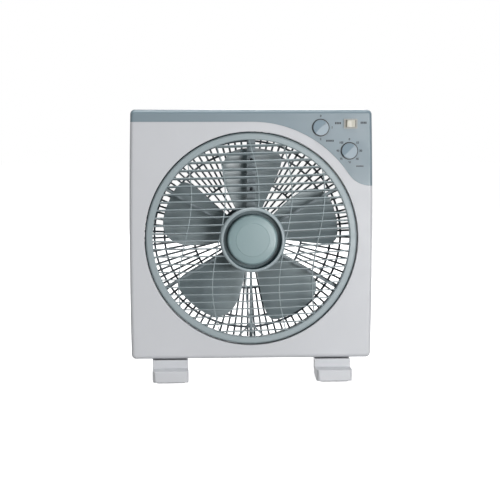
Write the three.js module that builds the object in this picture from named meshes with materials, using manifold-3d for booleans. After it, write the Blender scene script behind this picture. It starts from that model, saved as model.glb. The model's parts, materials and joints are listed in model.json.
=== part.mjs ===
// A 300 mm box fan with a turning louvre grille, a speed switch, a timer and a rocker switch.
// Millimetres, +Z up. The front faces -Y. The origin is on the floor, under the middle of the feet.
// Depths, written d, are measured backwards from the flat front face of the housing.
import * as THREE from 'three';
import { mergeVertices } from 'three/addons/utils/BufferGeometryUtils.js';
import Module from 'manifold-3d';

const wasm = await Module();
wasm.setup();

// ---------------------------------------------------------------- driving dimensions

const FOOT_H = 34.2; // floor to the underside of the housing
const BODY_W = 380.2; // housing width at its corners
const BODY_H = 393.4; // housing height
const BODY_TOP = FOOT_H + BODY_H;
const BODY_D = 104; // housing depth
const CROWN = 2.4; // how far the two sides bow out at their middles
const CORNER_R = 7.5; // corners of the housing, seen from the front
const FRONT_EDGE = 6; // rounding where the front face meets the sides
const REAR_EDGE = 6.5;
const FRONT_Y = -43; // the front face
const SPLIT_D = 50; // where the two shells meet
const WALL = 3.2; // shell wall
const GAP = 0.3; // clearance between pieces that rest on each other
const AXIS_Z = 224.6; // height of the fan's axis
const ROUND = 40; // facets round a large circle

const OPENING_R = 169; // front opening
const COLLAR_R = 171.4; // outside of the collar behind the front opening
const LEDGE_R = 161; // inside of the ledge that carries the louvre bracket
const LEDGE_D = 12.8;
const LEDGE_T = 1.9;

const FASCIA_ARC_R = 184.3; // the fascia's lower edge follows the opening at this distance from the axis
const FASCIA_ARC_END = THREE.MathUtils.degToRad(35.3);
const FASCIA_TAIL_Z = 83.3; // its edge at the right side, above the axis
const FASCIA_T = 1.5;
const FASCIA_WRAP = 46; // how far the fascia's flanges run back
const HANDLE_W = 104; // finger recess in the top of the rear shell
const HANDLE_D = 34;
const HANDLE_Z = AXIS_Z + 179; // its floor
const CORD_AT = [152, 62]; // x and z of the cord's gland

const GRILLE_R = 167; // louvre grille
const RIM_R = 156; // inside of the grille's rim
const HUB_R = 51; // outside of the grille's hub ring
const HUB_BORE_R = 45.8; // inside of the hub ring
const HUB_FRONT = -26; // front of the hub ring, proud of the front face
const SLAT_COUNT = 25;
const SLAT_PITCH = 12.2;
const SLAT_T = 1.5;
const SLAT_DEPTH = 9;
const SLAT_STEP = 26; // length of one facet of a slat
const WAVE_RIBS = 5; // S-shaped ribs that cross the slats
const WAVE_PITCH = 52.6;
const WAVE_SWING = 12.3;
const WAVE_T = 1.5;
const WAVE_SETBACK = 0.7; // the ribs' edges lie this far inside the slats'
const WAVE_STEPS = 12;
const GRILLE_TURN = THREE.MathUtils.degToRad(1.6); // how far the grille stands turned at rest
const DOME_RISE = 27; // height of the grille's dome above its rim
const DOME_FOOT = 2; // depth of the slats' front edges at the rim
const CAP_R = 39.3; // hub cap

const CUP_R = 28.5; // the bracket's cup round the louvre motor
const ARM_W = 13; // the bracket's wide top arm
const SPOKE_ANGLES = [30, 150, 210, 270, 330];

const BLADES = 5;
const BLADE_TIP_R = 143;
const BLADE_ROOT_R = 35;
const BLADE_HALF_ANGLE = THREE.MathUtils.degToRad(26);
const BLADE_T = 2;
const BLADE_FRONT = 27; // depth range that the blades sweep
const BLADE_BACK = 55;
const WHEEL_TURN = THREE.MathUtils.degToRad(1.5); // the top blade's lean from upright at rest
const LEADING_SQUARENESS = 10;
const TRAILING_SQUARENESS = 3;
const MOTOR_R = 43;

const GUARD_RIBS = 45;
const GUARD_RINGS = [88];
const GUARD_RING_T = 2;
const GUARD_RIB_T = 2.2;
const GUARD_HUB_R = 46; // motor plate in the middle of the guard
const GUARD_RIM_R = 166;
const GUARD_R = 170.6;
const GUARD_D = 93.5;
const GUARD_T = 4;

const SPEED_AT = [108.8, AXIS_Z + 175]; // x and z of the controls
const TIMER_AT = [154.4, AXIS_Z + 138.4];
const ROCKER_AT = [156.1, AXIS_Z + 181.2];
const KNOB_R = 12.3;
const KNOB_H = 8; // the grip ridge's height in front of the panel
const KNOB_EDGE_H = 4.5; // the height of its two slopes where they end
const KNOB_LEAN = THREE.MathUtils.degToRad(45); // direction of the grip ridge from the horizontal
const ROCKER_PIVOT_D = 1.5;
const ROCKER_TILT = THREE.MathUtils.degToRad(10);

const FOOT_X = 129; // middle of each foot
const FOOT_W = 56;
const HEEL_W = 36;
const FOOT_REACH = 75; // toes and heels end this far in front of and behind the origin
const TOE_SOLE = 13; // length of the flat sole under the toe and under the heel
const HEEL_SOLE = 23;
const FOOT_SOLE = 1.5; // the plastic ends here, above its rubber pads
const ARCH_Z = 15; // the foot's underside in its middle

const SCREW_R = 1.8;
const SCREW_HOLE_R = 2.15;
const SHELL_SCREWS = [FOOT_H + 14.5, BODY_TOP - 16].flatMap((z) => [[-175, z], [175, z]]); // x and z
const MOTOR_SCREWS = [45, 135, 225, 315].map((angle) => {
  const a = THREE.MathUtils.degToRad(angle);
  return [36 * Math.cos(a), AXIS_Z + 36 * Math.sin(a)];
});
const CHANNEL_SCREW_RS = [78, 124]; // distances from the axis
const FOOT_SCREW_DS = [22, 76]; // depths of the two screws in each foot

// ---------------------------------------------------------------- solids

const at = (d) => FRONT_Y + d; // the y of a depth

// A manifold-3d solid from a closed three.js geometry, turned the right way out.
function solid(geometry) {
  const flat = geometry.index ? geometry.toNonIndexed() : geometry;
  const bare = new THREE.BufferGeometry().setAttribute('position', flat.getAttribute('position'));
  const merged = mergeVertices(bare, 1e-4);
  const index = merged.index.array;
  const faces = [];
  for (let i = 0; i < index.length; i += 3) {
    const [a, b, c] = [index[i], index[i + 1], index[i + 2]];
    if (a !== b && b !== c && c !== a) faces.push(a, b, c);
  }
  const vertProperties = new Float32Array(merged.attributes.position.array);
  const make = (list) =>
    new wasm.Manifold(new wasm.Mesh({ numProp: 3, vertProperties, triVerts: new Uint32Array(list) }));
  const made = make(faces);
  return made.volume() >= 0 ? made : make(faces.reverse());
}

function geometryOf(piece) {
  const mesh = piece.getMesh();
  const count = mesh.numVert;
  const positions = new Float32Array(count * 3);
  for (let i = 0; i < count; i++) {
    positions.set(mesh.vertProperties.subarray(i * mesh.numProp, i * mesh.numProp + 3), i * 3);
  }
  const geometry = new THREE.BufferGeometry();
  geometry.setAttribute('position', new THREE.BufferAttribute(positions, 3));
  geometry.setIndex(new THREE.BufferAttribute(new Uint32Array(mesh.triVerts), 1));
  geometry.computeVertexNormals();
  return geometry;
}

const join = (...pieces) => pieces.reduce((a, b) => a.add(b));
const cut = (piece, ...tools) => tools.reduce((a, b) => a.subtract(b), piece);

// A flat piece drawn in x and z, from depth d0 to depth d1.
function plate(shape, d0, d1, curveSegments = 12) {
  const geometry = new THREE.ExtrudeGeometry(shape, { depth: d1 - d0, bevelEnabled: false, curveSegments });
  return solid(geometry.rotateX(Math.PI / 2).translate(0, at(d1), 0));
}

// A piece turned about an axis along Y through (x, z). The profile is a closed loop of [radius, depth].
function turned(profile, { x = 0, z = AXIS_Z, facets = ROUND, twist = 0 } = {}) {
  const points = profile.map(([r, d]) => new THREE.Vector2(r, at(d)));
  const onAxis = profile[0][0] === 0 && profile.at(-1)[0] === 0;
  if (!onAxis) points.push(points[0].clone());
  return solid(new THREE.LatheGeometry(points, facets, twist).translate(x, 0, z));
}

const tube = (r0, r1, d0, d1, options) =>
  turned([[r0, d0], [r1, d0], [r1, d1], [r0, d1]], options);
const disc = (r, d0, d1, options) => turned([[0, d0], [r, d0], [r, d1], [0, d1]], options);

function block(x0, x1, d0, d1, z0, z1) {
  const geometry = new THREE.BoxGeometry(x1 - x0, d1 - d0, z1 - z0);
  return solid(geometry.translate((x0 + x1) / 2, at((d0 + d1) / 2), (z0 + z1) / 2));
}

// An upright round piece, from height z0 to z1.
function post(r, x, d, z0, z1, facets = 8) {
  const geometry = new THREE.CylinderGeometry(r, r, z1 - z0, facets);
  return solid(geometry.rotateX(Math.PI / 2).translate(x, at(d), (z0 + z1) / 2));
}

const turnedAboutAxis = (piece, angle) =>
  piece.translate([0, 0, -AXIS_Z]).rotate([0, THREE.MathUtils.radToDeg(angle), 0]).translate([0, 0, AXIS_Z]);

// ---------------------------------------------------------------- housing forms

// The housing's outline, drawn in by inset.
function bodyShape(inset) {
  const w = BODY_W / 2 - inset;
  const b = FOOT_H + inset;
  const t = BODY_TOP - inset;
  const r = CORNER_R - inset;
  const shape = new THREE.Shape();
  shape.moveTo(-w + r, b);
  shape.lineTo(w - r, b);
  shape.absarc(w - r, b + r, r, -Math.PI / 2, 0);
  shape.quadraticCurveTo(w + 2 * CROWN, (b + t) / 2, w, t - r);
  shape.absarc(w - r, t - r, r, 0, Math.PI / 2);
  shape.lineTo(-w + r, t);
  shape.absarc(-w + r, t - r, r, Math.PI / 2, Math.PI);
  shape.quadraticCurveTo(-w - 2 * CROWN, (b + t) / 2, -w, b + r);
  shape.absarc(-w + r, b + r, r, Math.PI, 1.5 * Math.PI);
  return shape;
}

// The housing's solid form from depth d0 to d1, rounded by edge at its front or at its rear.
function bodyBlock(inset, d0, d1, edge, roundedEnd) {
  const length = d1 - d0 + edge;
  const geometry = new THREE.ExtrudeGeometry(bodyShape(inset), {
    depth: length - edge,
    bevelThickness: edge,
    bevelSize: edge,
    bevelOffset: -edge,
    bevelSegments: 2,
    curveSegments: 3,
  });
  geometry.rotateX(Math.PI / 2); // y now runs from edge - length - edge to edge
  const front = roundedEnd === 'front' ? d0 : d0 - edge;
  geometry.translate(0, at(front) + length, 0);
  return solid(geometry).intersect(block(-BODY_W, BODY_W, d0, d1, 0, 2 * BODY_H));
}

// The front fascia's region: a strip along the top that follows the opening and runs out at the right.
function fasciaShape(gap) {
  const r = FASCIA_ARC_R - gap;
  const far = BODY_W;
  const end = new THREE.Vector2(Math.cos(FASCIA_ARC_END), Math.sin(FASCIA_ARC_END)).multiplyScalar(r);
  const away = new THREE.Vector2(Math.sin(FASCIA_ARC_END), -Math.cos(FASCIA_ARC_END)).multiplyScalar(16);
  const tail = AXIS_Z + FASCIA_TAIL_Z - gap;
  const shape = new THREE.Shape();
  shape.moveTo(-far, AXIS_Z + r);
  shape.lineTo(0, AXIS_Z + r);
  shape.absarc(0, AXIS_Z, r, Math.PI / 2, FASCIA_ARC_END, true);
  shape.bezierCurveTo(end.x + away.x, AXIS_Z + end.y + away.y, 168, tail, 192, tail);
  shape.lineTo(far, tail);
  shape.lineTo(far, 2 * BODY_H);
  shape.lineTo(-far, 2 * BODY_H);
  return shape;
}

// The skin of the housing's front between two depths under its surface, over the fascia's region.
function frontSkin(outer, inner, gap) {
  const whole = bodyBlock(-outer, -outer, SPLIT_D, FRONT_EDGE + outer, 'front');
  const core = bodyBlock(inner, inner, SPLIT_D + 1, FRONT_EDGE - inner, 'front');
  return whole.subtract(core).intersect(plate(fasciaShape(gap), -5, FASCIA_WRAP + gap, 24));
}

// ---------------------------------------------------------------- fasteners

// A pan-head screw along Y: its head at headD, its point towards the front.
const screwAlongY = (x, z, headD, length, headR = 4, r = SCREW_R) =>
  turned(
    [
      [0, headD - length], [r, headD - length], [r, headD - 2], [headR, headD - 2], [headR * 0.8, headD],
      [0, headD],
    ],
    { x, z, facets: 8 },
  );

// ---------------------------------------------------------------- housing

function controlHoles() {
  const [x, z] = ROCKER_AT;
  return [
    block(x - 9.8, x + 9.8, -2, WALL + 1, z - 6.8, z + 6.8),
    disc(5.2, -2, WALL + 1, { x: SPEED_AT[0], z: SPEED_AT[1], facets: 12 }),
    disc(5.2, -2, WALL + 1, { x: TIMER_AT[0], z: TIMER_AT[1], facets: 12 }),
  ];
}

function frontShell() {
  const outer = bodyBlock(0, 0, SPLIT_D, FRONT_EDGE, 'front');
  const cavity = bodyBlock(WALL, WALL, SPLIT_D + 1, FRONT_EDGE - WALL, 'front');
  let shell = join(cut(outer, cavity), tube(OPENING_R - 1, COLLAR_R, 0.5, SPLIT_D - 4));
  shell = cut(shell, disc(OPENING_R, -1, SPLIT_D + 1));
  shell = join(shell, tube(LEDGE_R, COLLAR_R - 0.5, LEDGE_D, LEDGE_D + LEDGE_T));
  for (const [x, z] of SHELL_SCREWS) {
    shell = join(shell, disc(5, WALL - 0.6, SPLIT_D, { x, z, facets: 8 }));
    shell = cut(shell, disc(SCREW_HOLE_R, SPLIT_D - 18, SPLIT_D + 1, { x, z, facets: 8 }));
  }
  for (const x of [-FOOT_X, FOOT_X]) {
    shell = join(shell, post(5.5, x, FOOT_SCREW_DS[0], FOOT_H + 1, FOOT_H + 14));
    shell = cut(shell, post(SCREW_HOLE_R, x, FOOT_SCREW_DS[0], FOOT_H - 1, FOOT_H + 12));
  }
  const leadSlot = block(-6, 6, 16, 30, AXIS_Z + OPENING_R - 4, AXIS_Z + COLLAR_R + 2);
  return cut(shell, frontSkin(1, FASCIA_T + GAP, GAP), leadSlot, ...controlHoles());
}

const fascia = () => cut(frontSkin(0, FASCIA_T, 0), ...controlHoles());

function rearShell() {
  const start = SPLIT_D + GAP;
  const outer = bodyBlock(0, start, BODY_D, REAR_EDGE, 'rear');
  const cavity = bodyBlock(WALL, start - 1, BODY_D - WALL, REAR_EDGE - WALL, 'rear');
  let shell = join(cut(outer, cavity), tube(GUARD_R - 3, GUARD_R + 2.8, start + 2, BODY_D - 1));
  const seat = disc(GUARD_R + GAP, start - 1, GUARD_D + GUARD_T + 1);
  shell = cut(shell, seat, disc(GUARD_R - 2.1, start, BODY_D + 1));
  const half = HANDLE_W / 2;
  const floor = BODY_D - HANDLE_D;
  const pocket = block(-half - 2.5, half + 2.5, floor - 2.5, BODY_D - 1, HANDLE_Z - 2.5, BODY_TOP - 2);
  const fingers = block(-half, half, floor, BODY_D + 1, HANDLE_Z, BODY_TOP - WALL - 1);
  shell = cut(join(shell, pocket), fingers);
  for (const [x, z] of SHELL_SCREWS) {
    shell = join(shell, disc(6, start + GAP, BODY_D - 1, { x, z, facets: 8 }));
    shell = cut(shell, disc(SCREW_HOLE_R, start - 1, BODY_D + 1, { x, z, facets: 8 }));
    shell = cut(shell, disc(4.4, BODY_D - 6, BODY_D + 1, { x, z, facets: 8 }));
  }
  for (const x of [-FOOT_X, FOOT_X]) {
    shell = join(shell, post(5.5, x, FOOT_SCREW_DS[1], FOOT_H + 1, FOOT_H + 14));
    shell = cut(shell, post(SCREW_HOLE_R, x, FOOT_SCREW_DS[1], FOOT_H - 1, FOOT_H + 12));
  }
  const leadSlot = block(-6, 6, start, 68, AXIS_Z + GUARD_R - 4, AXIS_Z + GUARD_R + 5);
  const cordHole = disc(6.6, BODY_D - 9, BODY_D + 1, { x: CORD_AT[0], z: CORD_AT[1], facets: 12 });
  return cut(shell, leadSlot, cordHole);
}

// A ring-shaped cell between two ribs and two rings, as a hole in the guard.
function guardCell(r0, r1, angle, step) {
  const corner = (r, side) => {
    const half = step / 2 - GUARD_RIB_T / 2 / r;
    return [r * Math.cos(angle + side * half), AXIS_Z + r * Math.sin(angle + side * half)];
  };
  const hole = new THREE.Path();
  hole.moveTo(...corner(r0, -1));
  hole.lineTo(...corner(r1, -1));
  hole.lineTo(...corner(r1, 1));
  hole.lineTo(...corner(r0, 1));
  return hole;
}

function rearGuard() {
  const shape = new THREE.Shape();
  for (let i = 0; i < ROUND; i++) {
    const a = (i / ROUND) * 2 * Math.PI;
    const point = [GUARD_R * Math.cos(a), AXIS_Z + GUARD_R * Math.sin(a)];
    if (i === 0) shape.moveTo(...point);
    else shape.lineTo(...point);
  }
  const edges = [GUARD_HUB_R, ...GUARD_RINGS, GUARD_RIM_R + GUARD_RING_T / 2];
  const step = (2 * Math.PI) / GUARD_RIBS;
  for (let zone = 0; zone < edges.length - 1; zone++) {
    const r0 = edges[zone] + (zone === 0 ? 0 : GUARD_RING_T / 2);
    const r1 = edges[zone + 1] - GUARD_RING_T / 2;
    for (let i = 0; i < GUARD_RIBS; i++) {
      shape.holes.push(guardCell(r0, r1, Math.PI / 2 + (i + 0.5) * step, step));
    }
  }
  const lattice = plate(shape, GUARD_D, GUARD_D + GUARD_T);
  const holes = MOTOR_SCREWS.map(([x, z]) =>
    disc(SCREW_HOLE_R, GUARD_D - 1, GUARD_D + GUARD_T + 1, { x, z, facets: 8 }),
  );
  return cut(lattice, ...holes);
}

// ---------------------------------------------------------------- louvre grille

const domeDepth = (r) => DOME_FOOT - DOME_RISE * (1 - (r / RIM_R) ** 2);

// A bar of the grille through stations [x, z] counted from the axis. Its front edge follows the dome.
function domedBar(stations, widthX, widthZ, d0, d1) {
  const geometry = new THREE.BoxGeometry(1, 1, 1, 1, 1, stations.length - 1);
  const p = geometry.getAttribute('position');
  for (let i = 0; i < p.count; i++) {
    const [x, z] = stations[Math.round((p.getZ(i) + 0.5) * (stations.length - 1))];
    const d = domeDepth(Math.hypot(x, z)) + (p.getY(i) < 0 ? d0 : d1);
    p.setXYZ(i, x + p.getX(i) * widthX, at(d), AXIS_Z + z + p.getX(i) * widthZ);
  }
  return solid(geometry);
}

function slat(z) {
  const reach = Math.sqrt(RIM_R ** 2 - z ** 2) + 1.5;
  const steps = 2 * Math.ceil(reach / SLAT_STEP);
  const stations = Array.from({ length: steps + 1 }, (_, i) => [reach * ((2 * i) / steps - 1), z]);
  return domedBar(stations, 0, SLAT_T, 0, SLAT_DEPTH);
}

function waveRib(offset) {
  const stations = Array.from({ length: WAVE_STEPS + 1 }, (_, i) => {
    const z = (RIM_R + 1.5) * ((2 * i) / WAVE_STEPS - 1);
    return [offset + WAVE_SWING * Math.sin((Math.PI * z) / RIM_R), z];
  });
  return domedBar(stations, WAVE_T, 0, WAVE_SETBACK, SLAT_DEPTH - WAVE_SETBACK);
}

function louvreLattice() {
  const middle = (SLAT_COUNT - 1) / 2;
  const slats = Array.from({ length: SLAT_COUNT }, (_, i) => slat((i - middle) * SLAT_PITCH));
  const ribs = Array.from({ length: WAVE_RIBS }, (_, i) => waveRib((i - (WAVE_RIBS - 1) / 2) * WAVE_PITCH));
  return join(...slats, ...ribs).intersect(tube(HUB_BORE_R + 1.2, RIM_R + 1.2, -40, 40));
}

function louvreGrille() {
  const hub = turned([
    [HUB_BORE_R, HUB_FRONT], [HUB_R - 1.4, HUB_FRONT], [HUB_R, HUB_FRONT + 1.6], [HUB_R, -8], [8, -8], [8, -6.5],
    [3.9, -6.5], [3.9, -18], [8, -18], [8, -11], [HUB_BORE_R, -11],
  ], { facets: 30 });
  const rim = tube(RIM_R, GRILLE_R, 1.2, 12);
  return turnedAboutAxis(join(hub, rim, louvreLattice()), -GRILLE_TURN);
}

const hubCap = () =>
  turned([
    [0, HUB_FRONT], [26.5, -25.4], [28, -24.8], [CAP_R - 2.5, -23.6], [CAP_R, -21.2], [CAP_R + 0.8, -11.3],
    [CAP_R - 1.2, -11.3], [CAP_R - 1.9, -20.6], [CAP_R - 3.5, -22], [0, -22.8],
  ], { facets: 32 });

const louvreNut = () => tube(4.3, 8, -21, -18.3, { facets: 6 });
const louvreShaft = () => disc(3.5, -21.6, -4.6, { facets: 12 });

const louvreMotor = () =>
  turned([[0, -4], [8, -4], [8, -2.6], [24, -2.6], [25.5, -1.4], [25.5, 15.6], [0, 15.6]], { facets: 24 });

function spoke(angle) {
  const shape = new THREE.Shape();
  shape.moveTo(CUP_R - 1, -1.6);
  shape.lineTo(LEDGE_R - 3, -2.7);
  shape.lineTo(LEDGE_R - 3, 2.7);
  shape.lineTo(CUP_R - 1, 1.6);
  const turnedShape = new THREE.Shape(
    shape.getPoints().map((p) => p.rotateAround(new THREE.Vector2(), THREE.MathUtils.degToRad(angle))),
  );
  return plate(turnedShape, 15, 18.5).translate([0, 0, AXIS_Z]);
}

// The six-armed bracket in front of the blades. Its wide top arm is a channel for the louvre motor's lead.
function louvreBracket() {
  const ring = tube(LEDGE_R - 4, OPENING_R - 0.5, 15, 18.5);
  const profile = [[0, 16.2], [26.4, 16.2], [26.4, -1], [CUP_R, -1], [CUP_R, 18.5], [0, 18.5]];
  const cup = turned(profile, { facets: 24 });
  const arm = block(-ARM_W / 2, ARM_W / 2, 13.2, 20.5, AXIS_Z + CUP_R - 1, AXIS_Z + LEDGE_R - 2);
  const channel = block(-4.3, 4.3, 16.4, 21, AXIS_Z + CUP_R - 4, AXIS_Z + OPENING_R);
  const holes = CHANNEL_SCREW_RS.flatMap((r) => [
    disc(2.6, 13, 15.2, { z: AXIS_Z + r, facets: 8 }),
    disc(1.5, 15, 17, { z: AXIS_Z + r, facets: 8 }),
  ]);
  return cut(join(ring, cup, arm, ...SPOKE_ANGLES.map(spoke)), channel, ...holes);
}

function leadCover() {
  const strip = block(-6.2, 6.2, 20.8, 22.2, AXIS_Z + CUP_R + 2, AXIS_Z + LEDGE_R - 3);
  return cut(strip, ...CHANNEL_SCREW_RS.map((r) => disc(1.5, 20, 23, { z: AXIS_Z + r, facets: 8 })));
}

// Its head sits in the arm's counterbore, and its point is in the cover behind.
const coverScrew = (r) =>
  turned([[0, 13.9], [2.3, 13.9], [2.3, 14.9], [1.2, 14.9], [1.2, 22], [0, 22]], { z: AXIS_Z + r, facets: 8 });

// ---------------------------------------------------------------- fan wheel

// How far out the blade reaches at v, from -1 at its leading edge to 1 at its trailing edge.
function tipShare(v) {
  const n = v < 0 ? LEADING_SQUARENESS : TRAILING_SQUARENESS;
  return (1 - Math.abs(v) ** n) ** (1 / n);
}

// A box of 1 by 1 by 1 bent into one blade: x runs out from the root, z across the blade, y is its thickness.
function blade(centre) {
  const geometry = new THREE.BoxGeometry(1, 1, 1, 4, 1, 6);
  const p = geometry.getAttribute('position');
  const middle = (BLADE_FRONT + BLADE_BACK) / 2;
  for (let i = 0; i < p.count; i++) {
    const v = 0.995 * Math.sin(Math.PI * p.getZ(i));
    const u = p.getX(i) + 0.5;
    const r = BLADE_ROOT_R - 2 + (BLADE_TIP_R - BLADE_ROOT_R + 2) * tipShare(v) * u;
    const a = centre + v * BLADE_HALF_ANGLE;
    const twist = 1 - 0.18 * u; // the pitch eases towards the tip
    const camber = 3.5 * (1 - v * v);
    const pitch = (v * twist * (BLADE_BACK - BLADE_FRONT - BLADE_T)) / 2;
    const d = middle - pitch - camber * u + p.getY(i) * BLADE_T;
    p.setXYZ(i, r * Math.cos(a), at(d), AXIS_Z + r * Math.sin(a));
  }
  return solid(geometry);
}

function fanWheel() {
  const hub = turned([
    [4.3, 26], [BLADE_ROOT_R - 5, 26], [BLADE_ROOT_R, 31], [BLADE_ROOT_R, 55.5], [BLADE_ROOT_R - 2.5, 55.5],
    [BLADE_ROOT_R - 2.5, 32], [BLADE_ROOT_R - 6, 28.5], [9, 28.5], [9, 44], [4.3, 44],
  ], { facets: 25 });
  let wheel = hub;
  const inside = disc(BLADE_ROOT_R - 1.2, 20, 60, { facets: 25 });
  for (let i = 0; i < BLADES; i++) {
    wheel = join(wheel, cut(blade(Math.PI / 2 + WHEEL_TURN + (i * 2 * Math.PI) / BLADES), inside));
  }
  return wheel;
}

const fanNut = () =>
  turned([[0, 20], [6, 20], [10, 22], [10, 25.7], [4.3, 25.7], [4.3, 21.4], [0, 21.4]], { facets: 12 });

// ---------------------------------------------------------------- fan motor

const motorShaft = () => disc(4, 21.7, 91, { facets: 12 });

const motorFrontCover = () =>
  turned([
    [4.6, 58], [30, 58], [MOTOR_R, 63], [MOTOR_R, 69.7], [MOTOR_R - 2, 69.7], [MOTOR_R - 2, 64], [30, 60],
    [10.5, 60], [10.5, 66], [8.4, 66], [8.4, 60], [4.6, 60],
  ], { facets: 20 });

const motorRearCover = () =>
  cut(
    turned([
      [0, 93.2], [30, 93.2], [MOTOR_R, 88.5], [MOTOR_R, 82.3], [MOTOR_R - 2, 82.3], [MOTOR_R - 2, 87.5], [30, 91.4],
      [10.5, 91.4], [10.5, 86], [8.4, 86], [8.4, 91.4], [0, 91.4],
    ], { facets: 20 }),
    ...MOTOR_SCREWS.map(([x, z]) => disc(SCREW_HOLE_R, 88, 95, { x, z, facets: 8 })),
  );

const statorCore = () => tube(23, MOTOR_R, 70, 82, { facets: 20 });
const winding = (d0, d1) =>
  turned([[26, d0], [34, d0], [37, (d0 + d1) / 2], [34, d1], [26, d1]], { facets: 16 });
const rotorCore = () => tube(4.3, 22.2, 67, 85, { facets: 20 });
const bearing = (d0, d1) => tube(4.3, 8.1, d0, d1, { facets: 12 });

// ---------------------------------------------------------------- controls

// A round knob whose face is two slopes that meet in a grip ridge.
function knob([x, z]) {
  const front = -KNOB_H - 1;
  const body = turned([[0, -0.6], [KNOB_R, -0.6], [KNOB_R - 0.8, front], [0, front]], { x, z, facets: 24 });
  const half = KNOB_R + 1;
  const outline = [
    [-half, 0], [-half, -KNOB_EDGE_H], [-0.6, -KNOB_H], [0.6, -KNOB_H], [half, -KNOB_EDGE_H], [half, 0],
  ];
  const roof = new THREE.Shape(outline.map(([s, d]) => new THREE.Vector2(s, at(d))));
  const prism = new THREE.ExtrudeGeometry(roof, { depth: 3 * KNOB_R, bevelEnabled: false });
  prism.translate(0, 0, -1.5 * KNOB_R).rotateY(Math.PI / 2 - KNOB_LEAN).translate(x, 0, z);
  return cut(body.intersect(solid(prism)), disc(3.35, -6, 0, { x, z, facets: 8 }));
}

const knobShaft = ([x, z]) => disc(3, -5.6, 5, { x, z, facets: 8 });

// A control's box behind the fascia, with a round neck through it and a bore for the shaft.
function controlBox([x, z], half, back) {
  const box = block(x - half, x + half, WALL + 0.4, back, z - half, z + half);
  const neck = disc(4.8, -0.3, WALL + 1, { x, z, facets: 8 });
  const bore = disc(3.35, -1, 6, { x, z, facets: 8 });
  return cut(join(box, neck), bore);
}

function rockerHousing() {
  const [x, z] = ROCKER_AT;
  const flange = block(x - 10.5, x + 10.5, -1.6, -0.3, z - 7.6, z + 7.6);
  const body = block(x - 9.4, x + 9.4, -0.4, 21, z - 6.4, z + 6.4);
  const cavity = block(x - 8.4, x + 8.4, -2, 11, z - 5.6, z + 5.6);
  const pinHole = post(1.6, x, ROCKER_PIVOT_D, z - 8, z + 8);
  const blades = [-5, 0, 5].map((s) => block(x + s - 0.4, x + s + 0.4, 20.5, 27, z - 2.4, z + 2.4));
  return join(cut(body, pinHole).add(flange).subtract(cavity), ...blades);
}

// The button tilts about an upright pin. At rest its left side is pressed in.
function rockerButton() {
  const [x, z] = ROCKER_AT;
  const face = [[-7.5, -2.4], [0, -1.5], [7.5, -2.4], [7.5, 1], [5, 5], [-5, 5], [-7.5, 1]];
  const pivot = new THREE.Vector2(0, ROCKER_PIVOT_D);
  const shape = new THREE.Shape(
    face.map(([s, d]) => new THREE.Vector2(s, d).rotateAround(pivot, -ROCKER_TILT)),
  );
  const geometry = new THREE.ExtrudeGeometry(shape, { depth: 10.4, bevelEnabled: false });
  geometry.translate(x, at(0), z - 5.2);
  return join(solid(geometry), post(1.2, x, ROCKER_PIVOT_D, z - 6.1, z + 6.1));
}

// ---------------------------------------------------------------- wiring and electrics

// A round lead along points [x, depth, height above the axis].
function lead(points, r) {
  const stations = points.map(([x, d, z]) => new THREE.Vector3(x, at(d), AXIS_Z + z));
  const path = new THREE.CatmullRomCurve3(stations, false, 'centripetal');
  const section = new THREE.Shape();
  section.absarc(0, 0, r, 0, 2 * Math.PI);
  return solid(new THREE.ExtrudeGeometry(section, { steps: 18, extrudePath: path, curveSegments: 3 }));
}

const louvreLeadRoute = [
  [-2.8, 18.4, 30], [-2.8, 18.4, 79], [-2.8, 18.4, 129], [-2.8, 18.6, 165], [-1, 20.5, 176], [10, 23, 184],
  [60, 24, 187], [110, 28, 188], [142, 33, 184], [155, 33, 181],
];
const motorLeadRoute = [
  [0, 86, 44.5], [0, 86, 69], [0, 86, 119], [0, 84, 153], [0, 72, 165], [0, 59, 170], [4, 57, 178], [20, 55, 184],
  [60, 45, 183], [96, 32, 177], [108, 24, 174],
];

const capacitor = () => block(141, 175, 12, 36, 58, 80);
function terminalBlock() {
  const base = block(136, 168, 74, 82, 74, 90);
  return join(base, ...[141, 152, 163].map((x) => block(x - 4, x + 4, 70, 75, 76, 88)));
}

const cordGland = () =>
  turned([
    [3.6, 97.5], [8.4, 97.5], [8.4, 100.4], [6.3, 100.4], [6.3, 104.3], [8.4, 104.3], [7.6, 107], [3.6, 107],
  ], { x: CORD_AT[0], z: CORD_AT[1], facets: 12 });

// ---------------------------------------------------------------- feet

// A profile drawn in y and z, carried across the foot's width.
function footSlab(profile, x, width) {
  const shape = new THREE.Shape(profile.map(([y, z]) => new THREE.Vector2(y, z)));
  const geometry = new THREE.ExtrudeGeometry(shape, { depth: width, bevelEnabled: false });
  geometry.rotateY(Math.PI / 2).rotateX(Math.PI / 2); // y and z of the drawing become y and z of the part
  return solid(geometry.translate(x - width / 2, 0, 0));
}

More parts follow.
